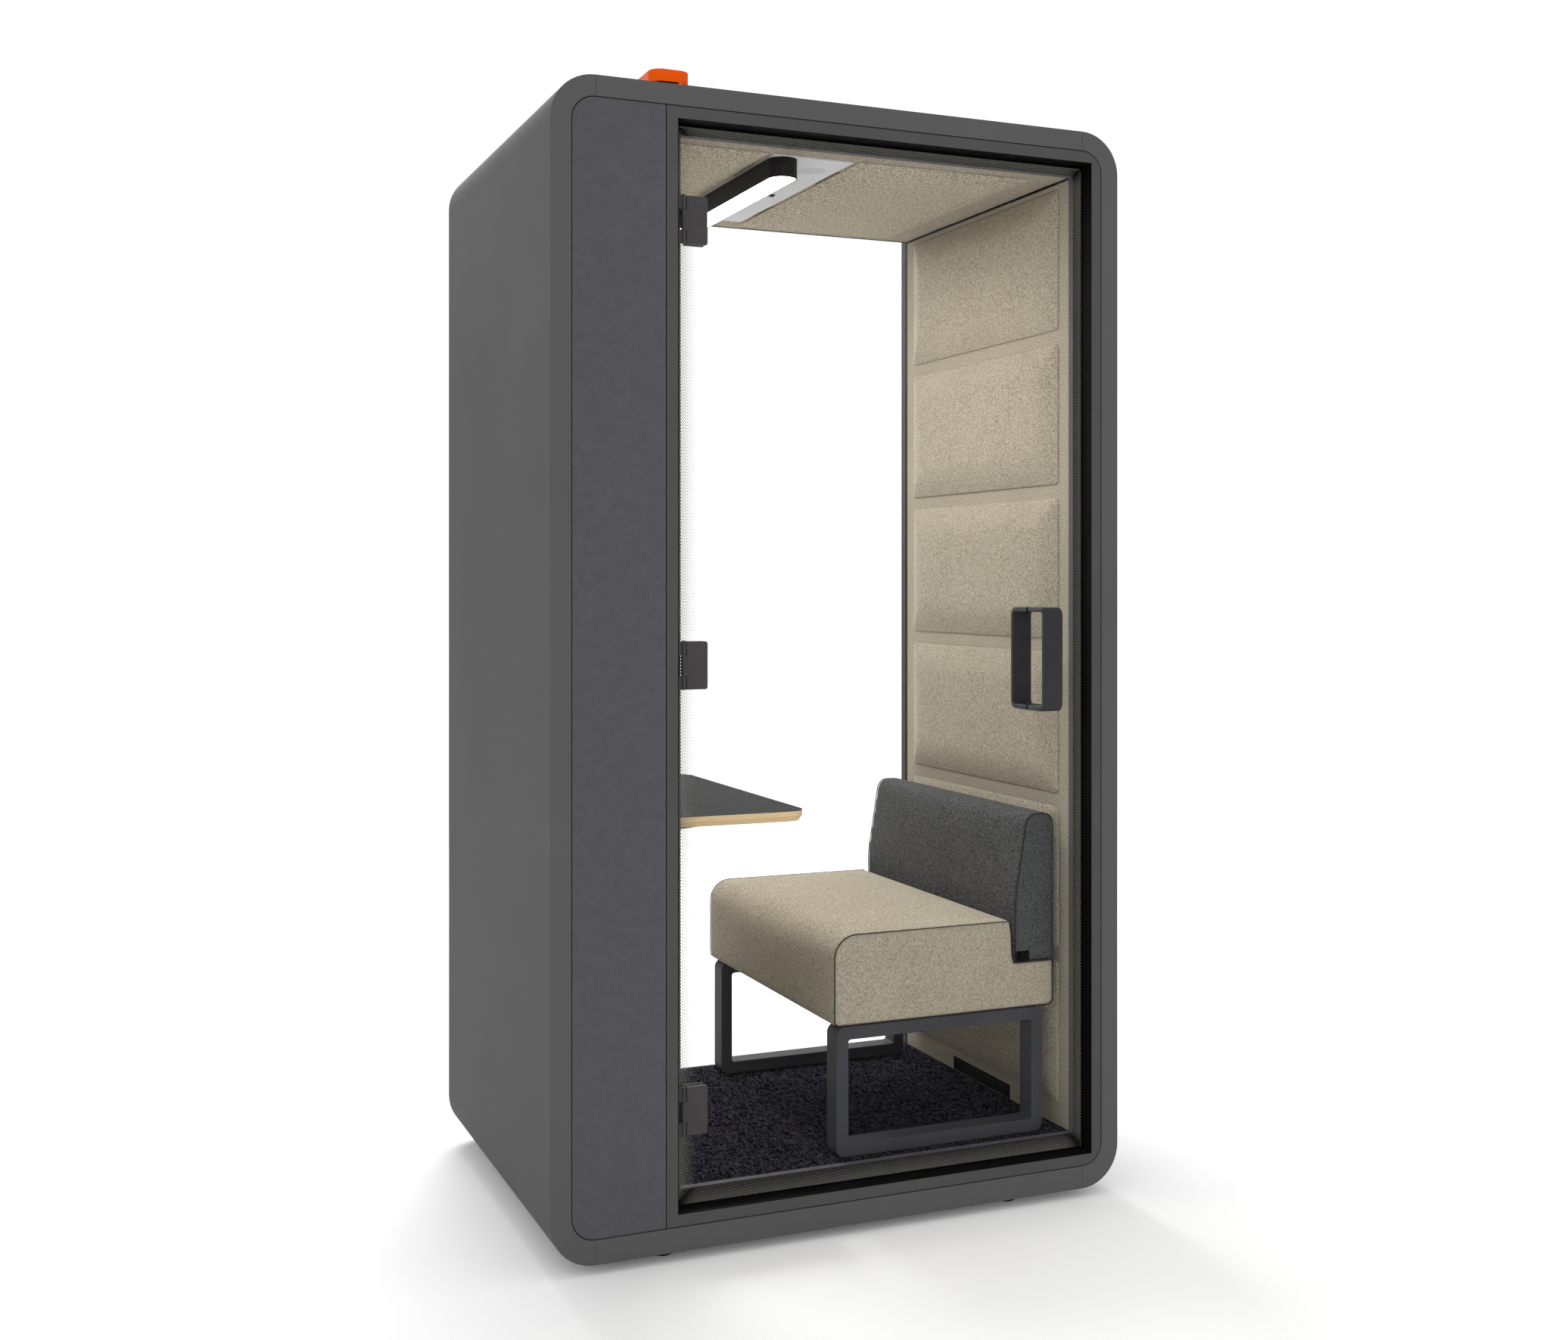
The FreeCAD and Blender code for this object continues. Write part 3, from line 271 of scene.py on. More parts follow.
# %% [markdown]
# ## Hard finishes
# The casing is laminated board: matt, very even, with a fine grain that only shows close up. A
# hair line shows where the side shells meet the roof and base panels, 545 mm from the middle.

# %% Casing laminate
seam_x, seam_half = 0.545, 0.0005
casing_laminate, tree, shader, place = start_finish("casing_laminate", 0.75, 0.04)
fine = grain(tree, place, 900, 1)
wide = ranged(tree, grain(tree, place, 3, 4), 0.3, 0.7, 0, 1)
body = blended(tree, wide, paint(89, 89, 89), paint(92, 92, 92))
off_seam = maths(tree, "ABSOLUTE", axis(tree, place, "X"))
off_seam = maths(tree, "ABSOLUTE", maths(tree, "SUBTRACT", off_seam, seam_x))
seam = maths(tree, "LESS_THAN", off_seam, seam_half)
feed(tree, shader.inputs["Base Color"], blended(tree, seam, body, paint(62, 62, 62)))
feed(tree, shader.inputs["Roughness"], ranged(tree, fine, 0.3, 0.7, 0.7, 0.8))
relief(tree, shader, fine, 0.0002, 0.3)
print(casing_laminate.name)


# %% [markdown]
# Powder coat is a melted powder: a little pebbled, satin to matt. The frame, the black jambs,
# the hinges, the handles, the loops of the bench and the orange guard all have it in their own
# colours. Moulded plastic and the table's laminate look much the same and share the recipe.

# %% Powder coats
def powder_coat(name, tone, other, roughness, specular, pebble=700, depth=0.00025):
    """A coat between two near tones, with pebbles of about 1/pebble metres."""
    mat, tree, shader, place = start_finish(name, roughness, specular)
    pebbles = grain(tree, place, pebble, 2)
    tones = ranged(tree, grain(tree, place, 9, 4), 0.3, 0.7, 0, 1)
    feed(tree, shader.inputs["Base Color"], blended(tree, tones, tone, other))
    satin = ranged(tree, pebbles, 0.3, 0.7, roughness - 0.06, roughness + 0.08)
    feed(tree, shader.inputs["Roughness"], satin)
    relief(tree, shader, pebbles, depth, 0.35)
    print(name)
    return mat


frame_grey = powder_coat("frame_grey", paint(79, 79, 79), paint(82, 82, 82), 0.6, 0.05)
frame_black = powder_coat("frame_black", paint(13, 13, 13), paint(16, 16, 16), 0.55, 0.06)
hardware_black = powder_coat("hardware_black", paint(66, 64, 64), paint(71, 69, 69), 0.5, 0.12)
handle_black = powder_coat("handle_black", paint(44, 44, 47), paint(49, 49, 52), 0.45, 0.15)
loop_black = powder_coat("loop_black", paint(64, 64, 68), paint(69, 69, 73), 0.5, 0.08)
guard_orange = powder_coat("guard_orange", paint(255, 92, 4), paint(255, 97, 9), 0.5, 0.05)
vent_black = powder_coat("vent_black", paint(6, 6, 7), paint(9, 9, 10), 0.6, 0.02, 1200)
foot_black = powder_coat("foot_black", paint(24, 24, 25), paint(28, 28, 29), 0.6, 0.1, 1200)
lamp_black = powder_coat("lamp_black", paint(22, 21, 21), paint(26, 25, 25), 0.45, 0.12, 1500)
panel_grey = powder_coat("panel_grey", paint(212, 212, 217), paint(217, 217, 222), 0.5, 0.1)
disc_grey = powder_coat("disc_grey", paint(196, 196, 201), paint(201, 201, 206), 0.5, 0.1)
electronics = powder_coat("electronics", paint(206, 206, 202), paint(212, 212, 208), 0.5, 0.3, 1500)
sensor_dark = powder_coat("sensor_dark", paint(40, 40, 42), paint(46, 46, 48), 0.3, 0.4, 2000)
table_grey = powder_coat("table_grey", paint(71, 71, 72), paint(75, 75, 76), 0.7, 0.0, 1100, 0.0001)

# %% [markdown]
# The door frame is one solid in two tones: black down to the face that the glass closes on, and
# grey on the inner side of the door stop. The depth along Y decides which.

# %% Door frame in two tones
stop_face_y = -0.3925
frame_two_tone, tree, shader, place = start_finish("frame_two_tone", 0.6, 0.05)
behind = maths(tree, "GREATER_THAN", axis(tree, place, "Y"), stop_face_y)
pebbles = grain(tree, place, 700, 2)
tones = ranged(tree, pebbles, 0.3, 0.7, 0, 1)
black = blended(tree, tones, paint(12, 12, 12), paint(16, 16, 16))
grey = blended(tree, tones, paint(84, 82, 88), paint(92, 90, 96))
feed(tree, shader.inputs["Base Color"], blended(tree, behind, black, grey))
relief(tree, shader, pebbles, 0.00025, 0.35)
print(frame_two_tone.name)

# %% [markdown]
# The fascia left of the door is a dense felt-like panel, a little bluer than the casing, with a
# fine short nap: two noises, one of fibres and one of soft cloudiness.

# %% Fascia felt
fascia_felt, tree, shader, place = start_finish("fascia_felt", roughness=0.95, specular=0.05)
fibre = grain(tree, place, 1300, 3)
cloud = grain(tree, place, 60, 4)
nap = maths(tree, "MULTIPLY", fibre, 0.7)
nap = maths(tree, "ADD", nap, maths(tree, "MULTIPLY", cloud, 0.3))
share = ranged(tree, nap, 0.35, 0.65, 0, 1)
feed(tree, shader.inputs["Base Color"], blended(tree, share, paint(80, 80, 85), paint(92, 92, 97)))
relief(tree, shader, fibre, 0.0006, 0.5)
print(fascia_felt.name)

# %% [markdown]
# The seal and the zinc plated bolts and screws are small, but they show when the door opens. Zinc
# has a faint blotchy shine, so one noise changes its tone and its roughness. Rubber has almost
# none and takes the recipe of the powder coats.

# %% Rubber and zinc
seal_rubber = powder_coat("seal_rubber", paint(17, 17, 17), paint(21, 21, 21), 0.75, 0.1, 1600)

zinc, tree, shader, place = start_finish("zinc", roughness=0.35, metallic=1.0)
blotch = grain(tree, place, 160, 3)
plating = blended(tree, blotch, paint(150, 152, 154), paint(186, 188, 190))
feed(tree, shader.inputs["Base Color"], plating)
feed(tree, shader.inputs["Roughness"], ranged(tree, blotch, 0.3, 0.7, 0.28, 0.45))
print(zinc.name)


# %% [markdown]
# A pane has to be seen through and let the studio light in. Refraction alone would block the
# lamps, so rays from lamps and from matt surfaces meet a plain transparent shader instead. A
# low index keeps the veil of reflections thin, as in the studio picture.

# %% Clear panes
def clear_pane(name, tint):
    mat, tree, shader, place = start_finish(name, roughness=0.0)
    shader.inputs["Base Color"].default_value = tint
    shader.inputs["Transmission Weight"].default_value = 1.0
    shader.inputs["IOR"].default_value = 1.1
    smear = ranged(tree, grain(tree, place, 5, 3), 0.45, 0.75, 0.0, 0.006)
    feed(tree, shader.inputs["Roughness"], smear)
    path = tree.nodes.new("ShaderNodeLightPath").outputs
    open_to_light = maths(tree, "MAXIMUM", path["Is Shadow Ray"], path["Is Diffuse Ray"])
    clear = tree.nodes.new("ShaderNodeBsdfTransparent")
    clear.inputs["Color"].default_value = tint
    either = tree.nodes.new("ShaderNodeMixShader")
    feed(tree, either.inputs[0], open_to_light)
    tree.links.new(shader.outputs[0], either.inputs[1])
    tree.links.new(clear.outputs[0], either.inputs[2])
    tree.links.new(either.outputs[0], tree.nodes["Material Output"].inputs["Surface"])
    print(name)
    return mat


door_pane = clear_pane("door_pane", (0.985, 0.99, 0.987, 1))
rear_pane = clear_pane("rear_pane", (0.985, 0.99, 0.987, 1))

# %% [markdown]
# The lamp's opal cover glows evenly. It is the only piece that gives light, and its strength is
# low enough for the ceiling lamp to look lit and not to flood the cabin.

# %% Lit opal cover
opal_lit, tree, shader, place = start_finish("opal_lit", roughness=0.4)
shader.inputs["Base Color"].default_value = paint(245, 245, 243)
haze = ranged(tree, grain(tree, place, 12, 2), 0.3, 0.7, 0.96, 1.0)
cool, warm = (0.95, 0.96, 1.0, 1), (1.0, 0.99, 0.97, 1)
feed(tree, shader.inputs["Emission Color"], blended(tree, haze, cool, warm))
shader.inputs["Emission Strength"].default_value = 65.0
print(opal_lit.name, shader.inputs["Emission Strength"].default_value)

# %% [markdown]
# The table's core is birch plywood, seen only at its edge. Thin veneers lie on each other, a
# light and a dark one in every 3 mm, so the colour goes by height, with a little waviness.

# %% Plywood edge
veneer_pair = 0.0030
ply_edge, tree, shader, place = start_finish("ply_edge", roughness=0.6, specular=0.2)
wander = maths(tree, "MULTIPLY", grain(tree, place, 14, 2, (1, 1, 4)), 0.0012)
height = maths(tree, "ADD", axis(tree, place, "Z"), wander)
veneer = maths(tree, "FRACT", maths(tree, "DIVIDE", height, veneer_pair))
dark_ply = maths(tree, "GREATER_THAN", veneer, 0.5)
streak = ranged(tree, grain(tree, place, 260, 3, (0.12, 0.12, 2)), 0.3, 0.7, 0, 1)
light_wood = blended(tree, streak, paint(230, 202, 158), paint(240, 215, 174))
dark_wood = blended(tree, streak, paint(186, 146, 100), paint(204, 165, 117))
wood = blended(tree, maths(tree, "MULTIPLY", dark_ply, 0.6), light_wood, dark_wood)
feed(tree, shader.inputs["Base Color"], wood)
relief(tree, shader, streak, 0.0002, 0.4)
print(ply_edge.name)

# %% [markdown]
# Joists, floor board and seat board are softwood and plywood that nobody sees. They still get a
# plain long grain, so that an opened pod looks right.

# %% Softwood
softwood, tree, shader, place = start_finish("softwood", roughness=0.7, specular=0.2)
rings = grain(tree, place, 30, 4, (1, 0.08, 1))
late_wood = ranged(tree, rings, 0.35, 0.65, 0, 1)
pine = blended(tree, late_wood, paint(206, 172, 124), paint(178, 138, 90))
feed(tree, shader.inputs["Base Color"], pine)
relief(tree, shader, rings, 0.0003, 0.3)
print(softwood.name)


# %% [markdown]
# ## Fabrics
# The lining and the bench are upholstered in a wool-like melange: fibres of several shades spun
# together, so the cloth is speckled at a few millimetres and soft from afar. Three shades are
# mixed by two noises, small nubs give the relief, and a little sheen lifts the edges. On the
# bench and the ceiling the yarn runs along Y. The ceiling has the same cloth, painted a tone
# lighter: painted light that stands in for the light the downward-facing ceiling lacks.

# %% Melange cloth
def melange(name, dark, middle, light, speck=340, sheen=0.1, spread=0.12, stretch=None):
    """A small spread makes sharp flecks; stretch draws the yarn out along an axis."""
    mat, tree, shader, place = start_finish(name, roughness=0.95, specular=0.05)
    shader.inputs["Sheen Weight"].default_value = sheen
    shader.inputs["Sheen Roughness"].default_value = 0.5
    flecks = ranged(tree, grain(tree, place, speck, 2, stretch), 0.5 - spread, 0.5 + spread, 0, 1)
    yarn = ranged(tree, grain(tree, place, speck * 3, 2, stretch), 0.38, 0.62, 0, 1)
    cloud = ranged(tree, grain(tree, place, 8, 3), 0.3, 0.7, 0, 1)
    spun = blended(tree, flecks, dark, light)
    spun = blended(tree, maths(tree, "MULTIPLY", yarn, 0.4), spun, middle)
    spun = blended(tree, maths(tree, "MULTIPLY", cloud, 0.12), spun, light)
    feed(tree, shader.inputs["Base Color"], spun)
    knots = maths(tree, "ADD", nubs(tree, place, speck * 2.6), maths(tree, "MULTIPLY", yarn, 0.4))
    relief(tree, shader, knots, 0.0009, 0.45)
    print(name)
    return mat


lining_cloth = melange(
    "lining_cloth", paint(128, 117, 99), paint(163, 152, 133), paint(199, 190, 173))
# Painted light: the lining's cloth a tone lighter, standing in for light that the ceiling lacks.
ceiling_cloth_painted_light = melange(
    "ceiling_cloth_painted_light", paint(138, 127, 107), paint(176, 164, 144), paint(214, 205, 187),
    speck=290, spread=0.14, stretch=(1, 0.35, 1))
seat_cloth = melange(
    "seat_cloth", paint(128, 117, 98), paint(163, 152, 132), paint(199, 190, 172),
    speck=400, spread=0.2, stretch=(1, 0.3, 1))
back_cloth = melange(
    "back_cloth", paint(38, 38, 39), paint(67, 67, 68), paint(99, 99, 100),
    speck=380, sheen=0.04, spread=0.17, stretch=(1, 0.3, 1))
tag_weave = melange(
    "tag_weave", paint(3, 3, 3), paint(5, 5, 5), paint(9, 9, 9), speck=900, sheen=0.0)
welt_dark = melange(
    "welt_dark", paint(36, 32, 27), paint(46, 41, 35), paint(58, 52, 45), speck=700, sheen=0.05)
welt_black = melange(
    "welt_black", paint(28, 28, 29), paint(35, 35, 36), paint(44, 44, 45), speck=700, sheen=0.05)

# %% [markdown]
# Carpet here is needle felt: short dark fibres pressed flat, blue-black with a few lighter
# ones, and a rough, almost shineless surface.

# %% Needle felt
needle_felt, tree, shader, place = start_finish("needle_felt", roughness=1.0, specular=0.0)
tuft = ranged(tree, grain(tree, place, 290, 3, (1, 0.3, 1)), 0.41, 0.63, 0, 1)
matted = ranged(tree, grain(tree, place, 70, 4), 0.3, 0.7, 0, 1)
felt = blended(tree, tuft, paint(2, 2, 4), paint(66, 64, 75))
felt = blended(tree, maths(tree, "MULTIPLY", matted, 0.4), felt, paint(14, 13, 17))
feed(tree, shader.inputs["Base Color"], felt)
relief(tree, shader, tuft, 0.0008, 0.5)
print(needle_felt.name)

# %% [markdown]
# Each solid takes its finish by name. The nodes keep their meshes as packed, and only the
# material in their slot changes.

# %% Finishes on the solids
finish_of = {
    casing_laminate: ["left_casing", "right_casing", "roof_casing", "base_casing"],
    fascia_felt: ["front_fascia"],
    frame_grey: ["front_frame", "rear_frame"],
    frame_two_tone: ["door_frame"],
    frame_black: ["rear_jamb", "front_inner_panel"],
    seal_rubber: ["door_seal"],
    door_pane: ["door_glass"],
    rear_pane: ["rear_glass"],
    hardware_black: ["hinge_door_leaves", "hinge_back_plates", "hinge_jamb_leaves", "hinge_pins"],
    handle_black: ["handle_outer", "handle_inner"],
    zinc: ["hinge_bolts", "handle_bolts", "table_screws"],
    loop_black: ["seat_leg_near", "seat_leg_far", "seat_rails", "table_arms"],
    lining_cloth: ["left_wall_board", "right_wall_board", "ceiling_board"],
    softwood: ["floor_board", "floor_joists", "seat_board"],
    vent_black: [
        "floor_vent", "fan_frames", "fan_rotor_front", "fan_rotor_rear",
        "roof_grilles", "power_inlet",
    ],
    panel_grey: ["service_panel"],
    disc_grey: ["blanking_disc"],
    lamp_black: ["lamp_housing"],
    opal_lit: ["lamp_diffuser"],
    sensor_dark: ["motion_sensor"],
    electronics: ["led_board", "led_driver"],
    ply_edge: ["table_core"],
    table_grey: ["table_laminate"],
    guard_orange: ["inlet_guard"],
    foot_black: ["foot_front_left", "foot_front_right", "foot_rear_left", "foot_rear_right"],
}
for finish, names in finish_of.items():
    for name in names:
        nodes[name].data.materials.clear()
        nodes[name].data.materials.append(finish)
dressed = {name for names in finish_of.values() for name in names}
print(len(dressed), "solids dressed; new pieces stand for", sorted(set(nodes) - dressed))


# %% [markdown]
# ## Making a piece
# Every new piece ends the same way: its bmesh becomes an object at the origin, with smooth
# faces and a finish, and it rides on a body.

# %% From bmesh to a piece
def piece(shape, name, finish, body="root", stands_for=()):
    bmesh.ops.recalc_face_normals(shape, faces=shape.faces[:])
    mesh = bpy.data.meshes.new(name)
    shape.to_mesh(mesh)
    shape.free()
    for face in mesh.polygons:
        face.use_smooth = True
    mesh.materials.append(finish)
    made = bpy.data.objects.new(name, mesh)
    bpy.context.scene.collection.objects.link(made)
    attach(made, body)
    if stands_for:
        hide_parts(*stands_for)
    print(name, len(mesh.polygons), "faces")
    return made


def settle(made):
    """Puts what the piece's modifiers make into its mesh and takes the modifiers off."""
    seen_by = bpy.context.evaluated_depsgraph_get()
    mesh = bpy.data.meshes.new_from_object(made.evaluated_get(seen_by))
    made.modifiers.clear()
    made.data = mesh
    return made


# %% [markdown]
# ## Wall and ceiling pads
# A pad is foam under tight cloth: a crisp line where the cloth is pulled to the wall, a slope
# that rises fast and then eases, and an almost flat crown. A grid is enough. Its rows crowd
# towards the rim, where the slope bends most, the corners are drawn to a round, and the slopes
# meet at each corner in a soft mitre. The rim is extruded to the wall and the back is filled.

# %% One pad
mitre_blend = 0.12


def eased(share):
    """Height of the slope from the rim, 0, to the crown, 1."""
    share = min(max(share, 0.0), 1.0)
    return 1 - (1 - share) ** 1.7


def pad(width, height, rise, slope=0.070, corner=0.012, skirt=0.0016):
    """A pad on the XY plane with its crown up, about the origin."""
    shape = bmesh.new()
    bmesh.ops.create_grid(shape, x_segments=72, y_segments=48, size=1.0)
    for vert in shape.verts:
        x, y = (0.45 * t + 0.55 * math.sin(t * math.pi / 2) for t in vert.co.xy)
        x, y = x * width / 2, y * height / 2
        over_x, over_y = abs(x) - width / 2 + corner, abs(y) - height / 2 + corner
        from_x, from_y = (width / 2 - abs(x)) / slope, (height / 2 - abs(y)) / slope
        mitre = max(mitre_blend - abs(from_x - from_y), 0) ** 2 / (4 * mitre_blend)
        lift = eased(min(from_x, from_y) - mitre)
        if over_x > 0 and over_y > 0:
            pull = 1 - max(over_x, over_y) / math.hypot(over_x, over_y)
            x -= math.copysign(over_x * pull, x)
            y -= math.copysign(over_y * pull, y)
        vert.co = (x, y, skirt + (rise - skirt) * lift)
    rim = [edge for edge in shape.edges if edge.is_boundary]
    for item in bmesh.ops.extrude_edge_only(shape, edges=rim)["geom"]:
        if isinstance(item, bmesh.types.BMVert):
            item.co.z = 0
    bmesh.ops.holes_fill(shape, edges=shape.edges[:], sides=0)
    return shape


wall_rise = 0.0197
sample = pad(0.699, 0.312, wall_rise)
print("pad", len(sample.faces), "faces, crown", round(max(v.co.z for v in sample.verts), 4), "m")
sample.free()


# %% [markdown]
# A wall has six equal pads above each other. One is made, turned onto the wall and duplicated
# upwards. Real foam is never quite even, so the crown is moved by less than a millimetre with a
# slow noise that is the same in every run.

# %% Pads of a wall
pads_y = (-0.33525, 0.36375)
pads_low, pad_pitch, pad_gap, pad_rows = 0.161, 0.342, 0.030, 6
wall_x, crown_x, unevenness = 0.5497, 0.545, 0.0007


def wall_pads(side):
    middle_y = sum(pads_y) / 2
    shape = pad(pads_y[1] - pads_y[0], pad_pitch - pad_gap, wall_rise)
    turn = Matrix((
        (0, 0, -side, side * wall_x),
        (1, 0, 0, middle_y),
        (0, 1, 0, pads_low + pad_pitch / 2),
        (0, 0, 0, 1),
    ))
    bmesh.ops.transform(shape, matrix=turn, verts=shape.verts[:])
    first = shape.verts[:] + shape.edges[:] + shape.faces[:]
    for level in range(1, pad_rows):
        copy = bmesh.ops.duplicate(shape, geom=first)["geom"]
        verts = [item for item in copy if isinstance(item, bmesh.types.BMVert)]
        bmesh.ops.translate(shape, verts=verts, vec=(0, 0, level * pad_pitch))
    crowns = [v for v in shape.verts if abs(v.co.x) < crown_x]
    for vert in crowns:
        vert.co.x += side * unevenness * (0.5 + 0.5 * noise.noise(vert.co * 9))
    return shape


right_pads = piece(
    wall_pads(1), "right_pads", lining_cloth, stands_for=["right_wall_pads"])
left_pads = piece(
    wall_pads(-1), "left_pads", lining_cloth, stands_for=["left_wall_pads"])

# %% [markdown]
# On the left wall the table's two arms are screwed on, and the second pad is cut out round
# their flanges. A Boolean with two boxes does it, and its result becomes the mesh.

# %% Cut-outs for the table's arms
flange_y = (-0.20425, 0.23575)
flange_room, flange_x, flange_z = (0.06, 0.054, 0.10), -0.545, 0.809
shape = bmesh.new()
for middle_y in flange_y:
    box_made = bmesh.ops.create_cube(shape, size=1.0)["verts"]
    bmesh.ops.scale(shape, vec=flange_room, verts=box_made)
    bmesh.ops.translate(shape, vec=(flange_x, middle_y, flange_z), verts=box_made)
cutter_mesh = bpy.data.meshes.new("arm_room")
shape.to_mesh(cutter_mesh)
shape.free()
arm_room = bpy.data.objects.new("arm_room", cutter_mesh)
bpy.context.scene.collection.objects.link(arm_room)
cut = left_pads.modifiers.new("arm_room", "BOOLEAN")
cut.operation = "DIFFERENCE"
cut.object = arm_room
settle(left_pads)
bpy.data.objects.remove(arm_room)
print("left pads", len(left_pads.data.polygons), "faces with room for", len(flange_y), "flanges")

# %% [markdown]
# The ceiling has one pad each side of the service panel, a little flatter than the wall pads. The
# same function makes them, and they are turned over, so that walls and ceiling match.

# %% Ceiling pads
ceiling_z, ceiling_rise = 2.2127, 0.0157
shape = bmesh.new()
for x0, x1 in ((-0.480, -0.141), (0.064, 0.480)):
    one = pad(x1 - x0, pads_y[1] - pads_y[0], ceiling_rise)
    hang = Matrix.Translation(((x0 + x1) / 2, sum(pads_y) / 2, ceiling_z))
    hang = hang @ Matrix.Rotation(math.pi, 4, "Y")
    bmesh.ops.transform(one, matrix=hang, verts=one.verts[:])
    carried = bpy.data.meshes.new("one_pad")
    one.to_mesh(carried)
    one.free()
    shape.from_mesh(carried)
    bpy.data.meshes.remove(carried)
ceiling_pads = piece(
    shape, "ceiling_cloth_pads", ceiling_cloth_painted_light, stands_for=["ceiling_pads"])


# %% [markdown]
# ## Bench
# The seat and the backrest are foam blocks in sewn covers: a side panel at each end, a long
# panel round the rest, and a dark welt in the seam between them. The block starts as one
# upright face, its corners are rounded by a vertex bevel and it is extruded across the bench.
# Then it becomes cloth: held at the seams and where it rests, it swells a little under
# pressure, which gives the crown and the soft panels of a real cover.

# %% Block of foam
def block(corners, y0, y1):
    """A block across the bench; corners are (x, z, run of the rounding along its edges)."""
    shape = bmesh.new()
    verts = [shape.verts.new((x, y0, z)) for x, z, run in corners]
    shape.faces.new(verts)
    for vert, (x, z, run) in zip(verts, corners):
        if run:
            bmesh.ops.bevel(
                shape, geom=[vert], offset=run, affect="VERTICES",
                segments=9, profile=0.5, material=-1)
    side = shape.faces[:][0]
    outline = [loop.vert.co.copy() for loop in side.loops]
    moved = bmesh.ops.extrude_face_region(shape, geom=[side])["geom"]
    far = [item for item in moved if isinstance(item, bmesh.types.BMVert)]
    bmesh.ops.translate(shape, verts=far, vec=(0, y1 - y0, 0))
    return shape, outline


bench_y = (-0.3535, 0.3895)
seat_corners = [
    (-0.0045, 0.3996, 0.012), (-0.0045, 0.5925, 0.050), (0.4185, 0.5925, 0), (0.4260, 0.4985, 0),
    (0.5255, 0.4985, 0), (0.5255, 0.3996, 0.012),
]
back_corners = [
    (0.4275, 0.4990, 0), (0.4275, 0.6340, 0.026), (0.4590, 0.8225, 0.022),
    (0.5255, 0.8225, 0.022), (0.5255, 0.4990, 0),
]
seat_shape, seat_outline = block(seat_corners, *bench_y)
back_shape, back_outline = block(back_corners, *bench_y)
print("outlines of", len(seat_outline), "and", len(back_outline), "points")


# %% [markdown]
# The voxel remesh turns the block into an even skin that cloth can bend. Points near the seam or
# near what the cushion rests on are pinned by a vertex group, and the pressure does the rest.
# Sewn foam swells less than bare cloth, so all points keep the same share of their travel: the
# share that brings the farthest one to the cap.

# %% Swelling by cloth
voxel, seam_reach, cloth_frames = 0.006, 0.009, 15


def near_outline(point, outline, reach):
    """True if a point lies within reach of the seam's outline, seen from the side."""
    for start, end in zip(outline, outline[1:] + outline[:1]):
        along = Vector((end.x - start.x, end.z - start.z))
        to = Vector((point.x - start.x, point.z - start.z))
        share = min(max(to.dot(along) / max(along.length_squared, 1e-12), 0), 1)
        if (to - along * share).length < reach:
            return True
    return False


def swell(made, outline, rests, cap, pressure=5.0):
    remesh = made.modifiers.new("skin", "REMESH")
    remesh.mode = "VOXEL"
    remesh.voxel_size = voxel
    settle(made)
    start = [v.co.copy() for v in made.data.vertices]
    ends = [i for i, p in enumerate(start) if min(abs(p.y - y) for y in bench_y) < seam_reach]
    held = [i for i in ends if near_outline(start[i], outline, seam_reach)]
    held += [i for i, p in enumerate(start) if rests(p)]
    made.vertex_groups.new(name="held").add(held, 1.0, "REPLACE")
    cloth = made.modifiers.new("cover", "CLOTH")
    cloth.settings.vertex_group_mass = "held"
    cloth.settings.use_pressure = True
    cloth.settings.uniform_pressure_force = pressure
    cloth.settings.effector_weights.gravity = 0
    cloth.settings.quality = 4
    for step in range(1, cloth_frames + 1):
        bpy.context.scene.frame_set(step)
    settle(made)
    made.vertex_groups.clear()
    bpy.context.scene.frame_set(1)
    travel = max((vert.co - rest).length for vert, rest in zip(made.data.vertices, start))
    share = min(cap / travel, 1) if travel else 0
    for vert, rest in zip(made.data.vertices, start):
        vert.co = rest + (vert.co - rest) * share
    print(made.name, len(start), "points,", len(held), "of them held")
    print("swelled", round(travel * 1000, 1), "mm, kept a share of", round(share, 2))


# %% [markdown]
# The seat rests on its board and has a step at the rear for the backrest, so its underside, the
# step and its rear face are held. Two turns of smoothing and one level of subdivision take the
# steps out of the remeshed skin.

# %% Seat cushion
def smooth_skin(made, turns):
    shape = bmesh.new()
    shape.from_mesh(made.data)
    for turn in range(turns):
        bmesh.ops.smooth_vert(
            shape, verts=shape.verts[:], factor=0.5,
            use_axis_x=True, use_axis_y=True, use_axis_z=True)
    shape.to_mesh(made.data)
    shape.free()
    finer = made.modifiers.new("finer", "SUBSURF")
    finer.levels = finer.render_levels = 1
    settle(made)
    for face in made.data.polygons:
        face.use_smooth = True


def seat_held(p):
    on_board = p.z < 0.404
    at_backrest = p.x > 0.412
    return on_board or at_backrest


seat = piece(seat_shape, "seat_pad", seat_cloth, stands_for=["seat_cushion"])
swell(seat, seat_outline, seat_held, cap=0.009)
smooth_skin(seat, 2)
print("seat top", round(max(v.co.z for v in seat.data.vertices), 4))

# %% [markdown]
# The backrest stands in the seat's step and leans on the wall pads: its foot, its rear face and
# the patch of its end under the tag are held.

# %% Backrest cushion
tag_low, tag_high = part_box("seat_tag")
round_tag = 0.012


def back_held(p):
    foot = p.z < 0.503 or p.z < 0.600 and p.x < 0.432
    at_wall = p.x > 0.521
    over_tag = p.x < tag_high.x + round_tag and p.z < tag_high.z + round_tag
    return foot or at_wall or over_tag and p.y < tag_high.y + seam_reach


print("tag from", [round(x, 4) for x in tag_low], "to", [round(x, 4) for x in tag_high])
back = piece(back_shape, "back_pad", back_cloth, stands_for=["backrest_cushion"])
swell(back, back_outline, back_held, cap=0.007)
smooth_skin(back, 2)
print("backrest top", round(max(v.co.z for v in back.data.vertices), 4))


# %% [markdown]
# A welt is a thin round cord sewn into a seam. It follows the outline of the side panel at each
# end, drawn in by a hair so that it lies in the seam: a curve with a round bevel, made into a
# mesh.

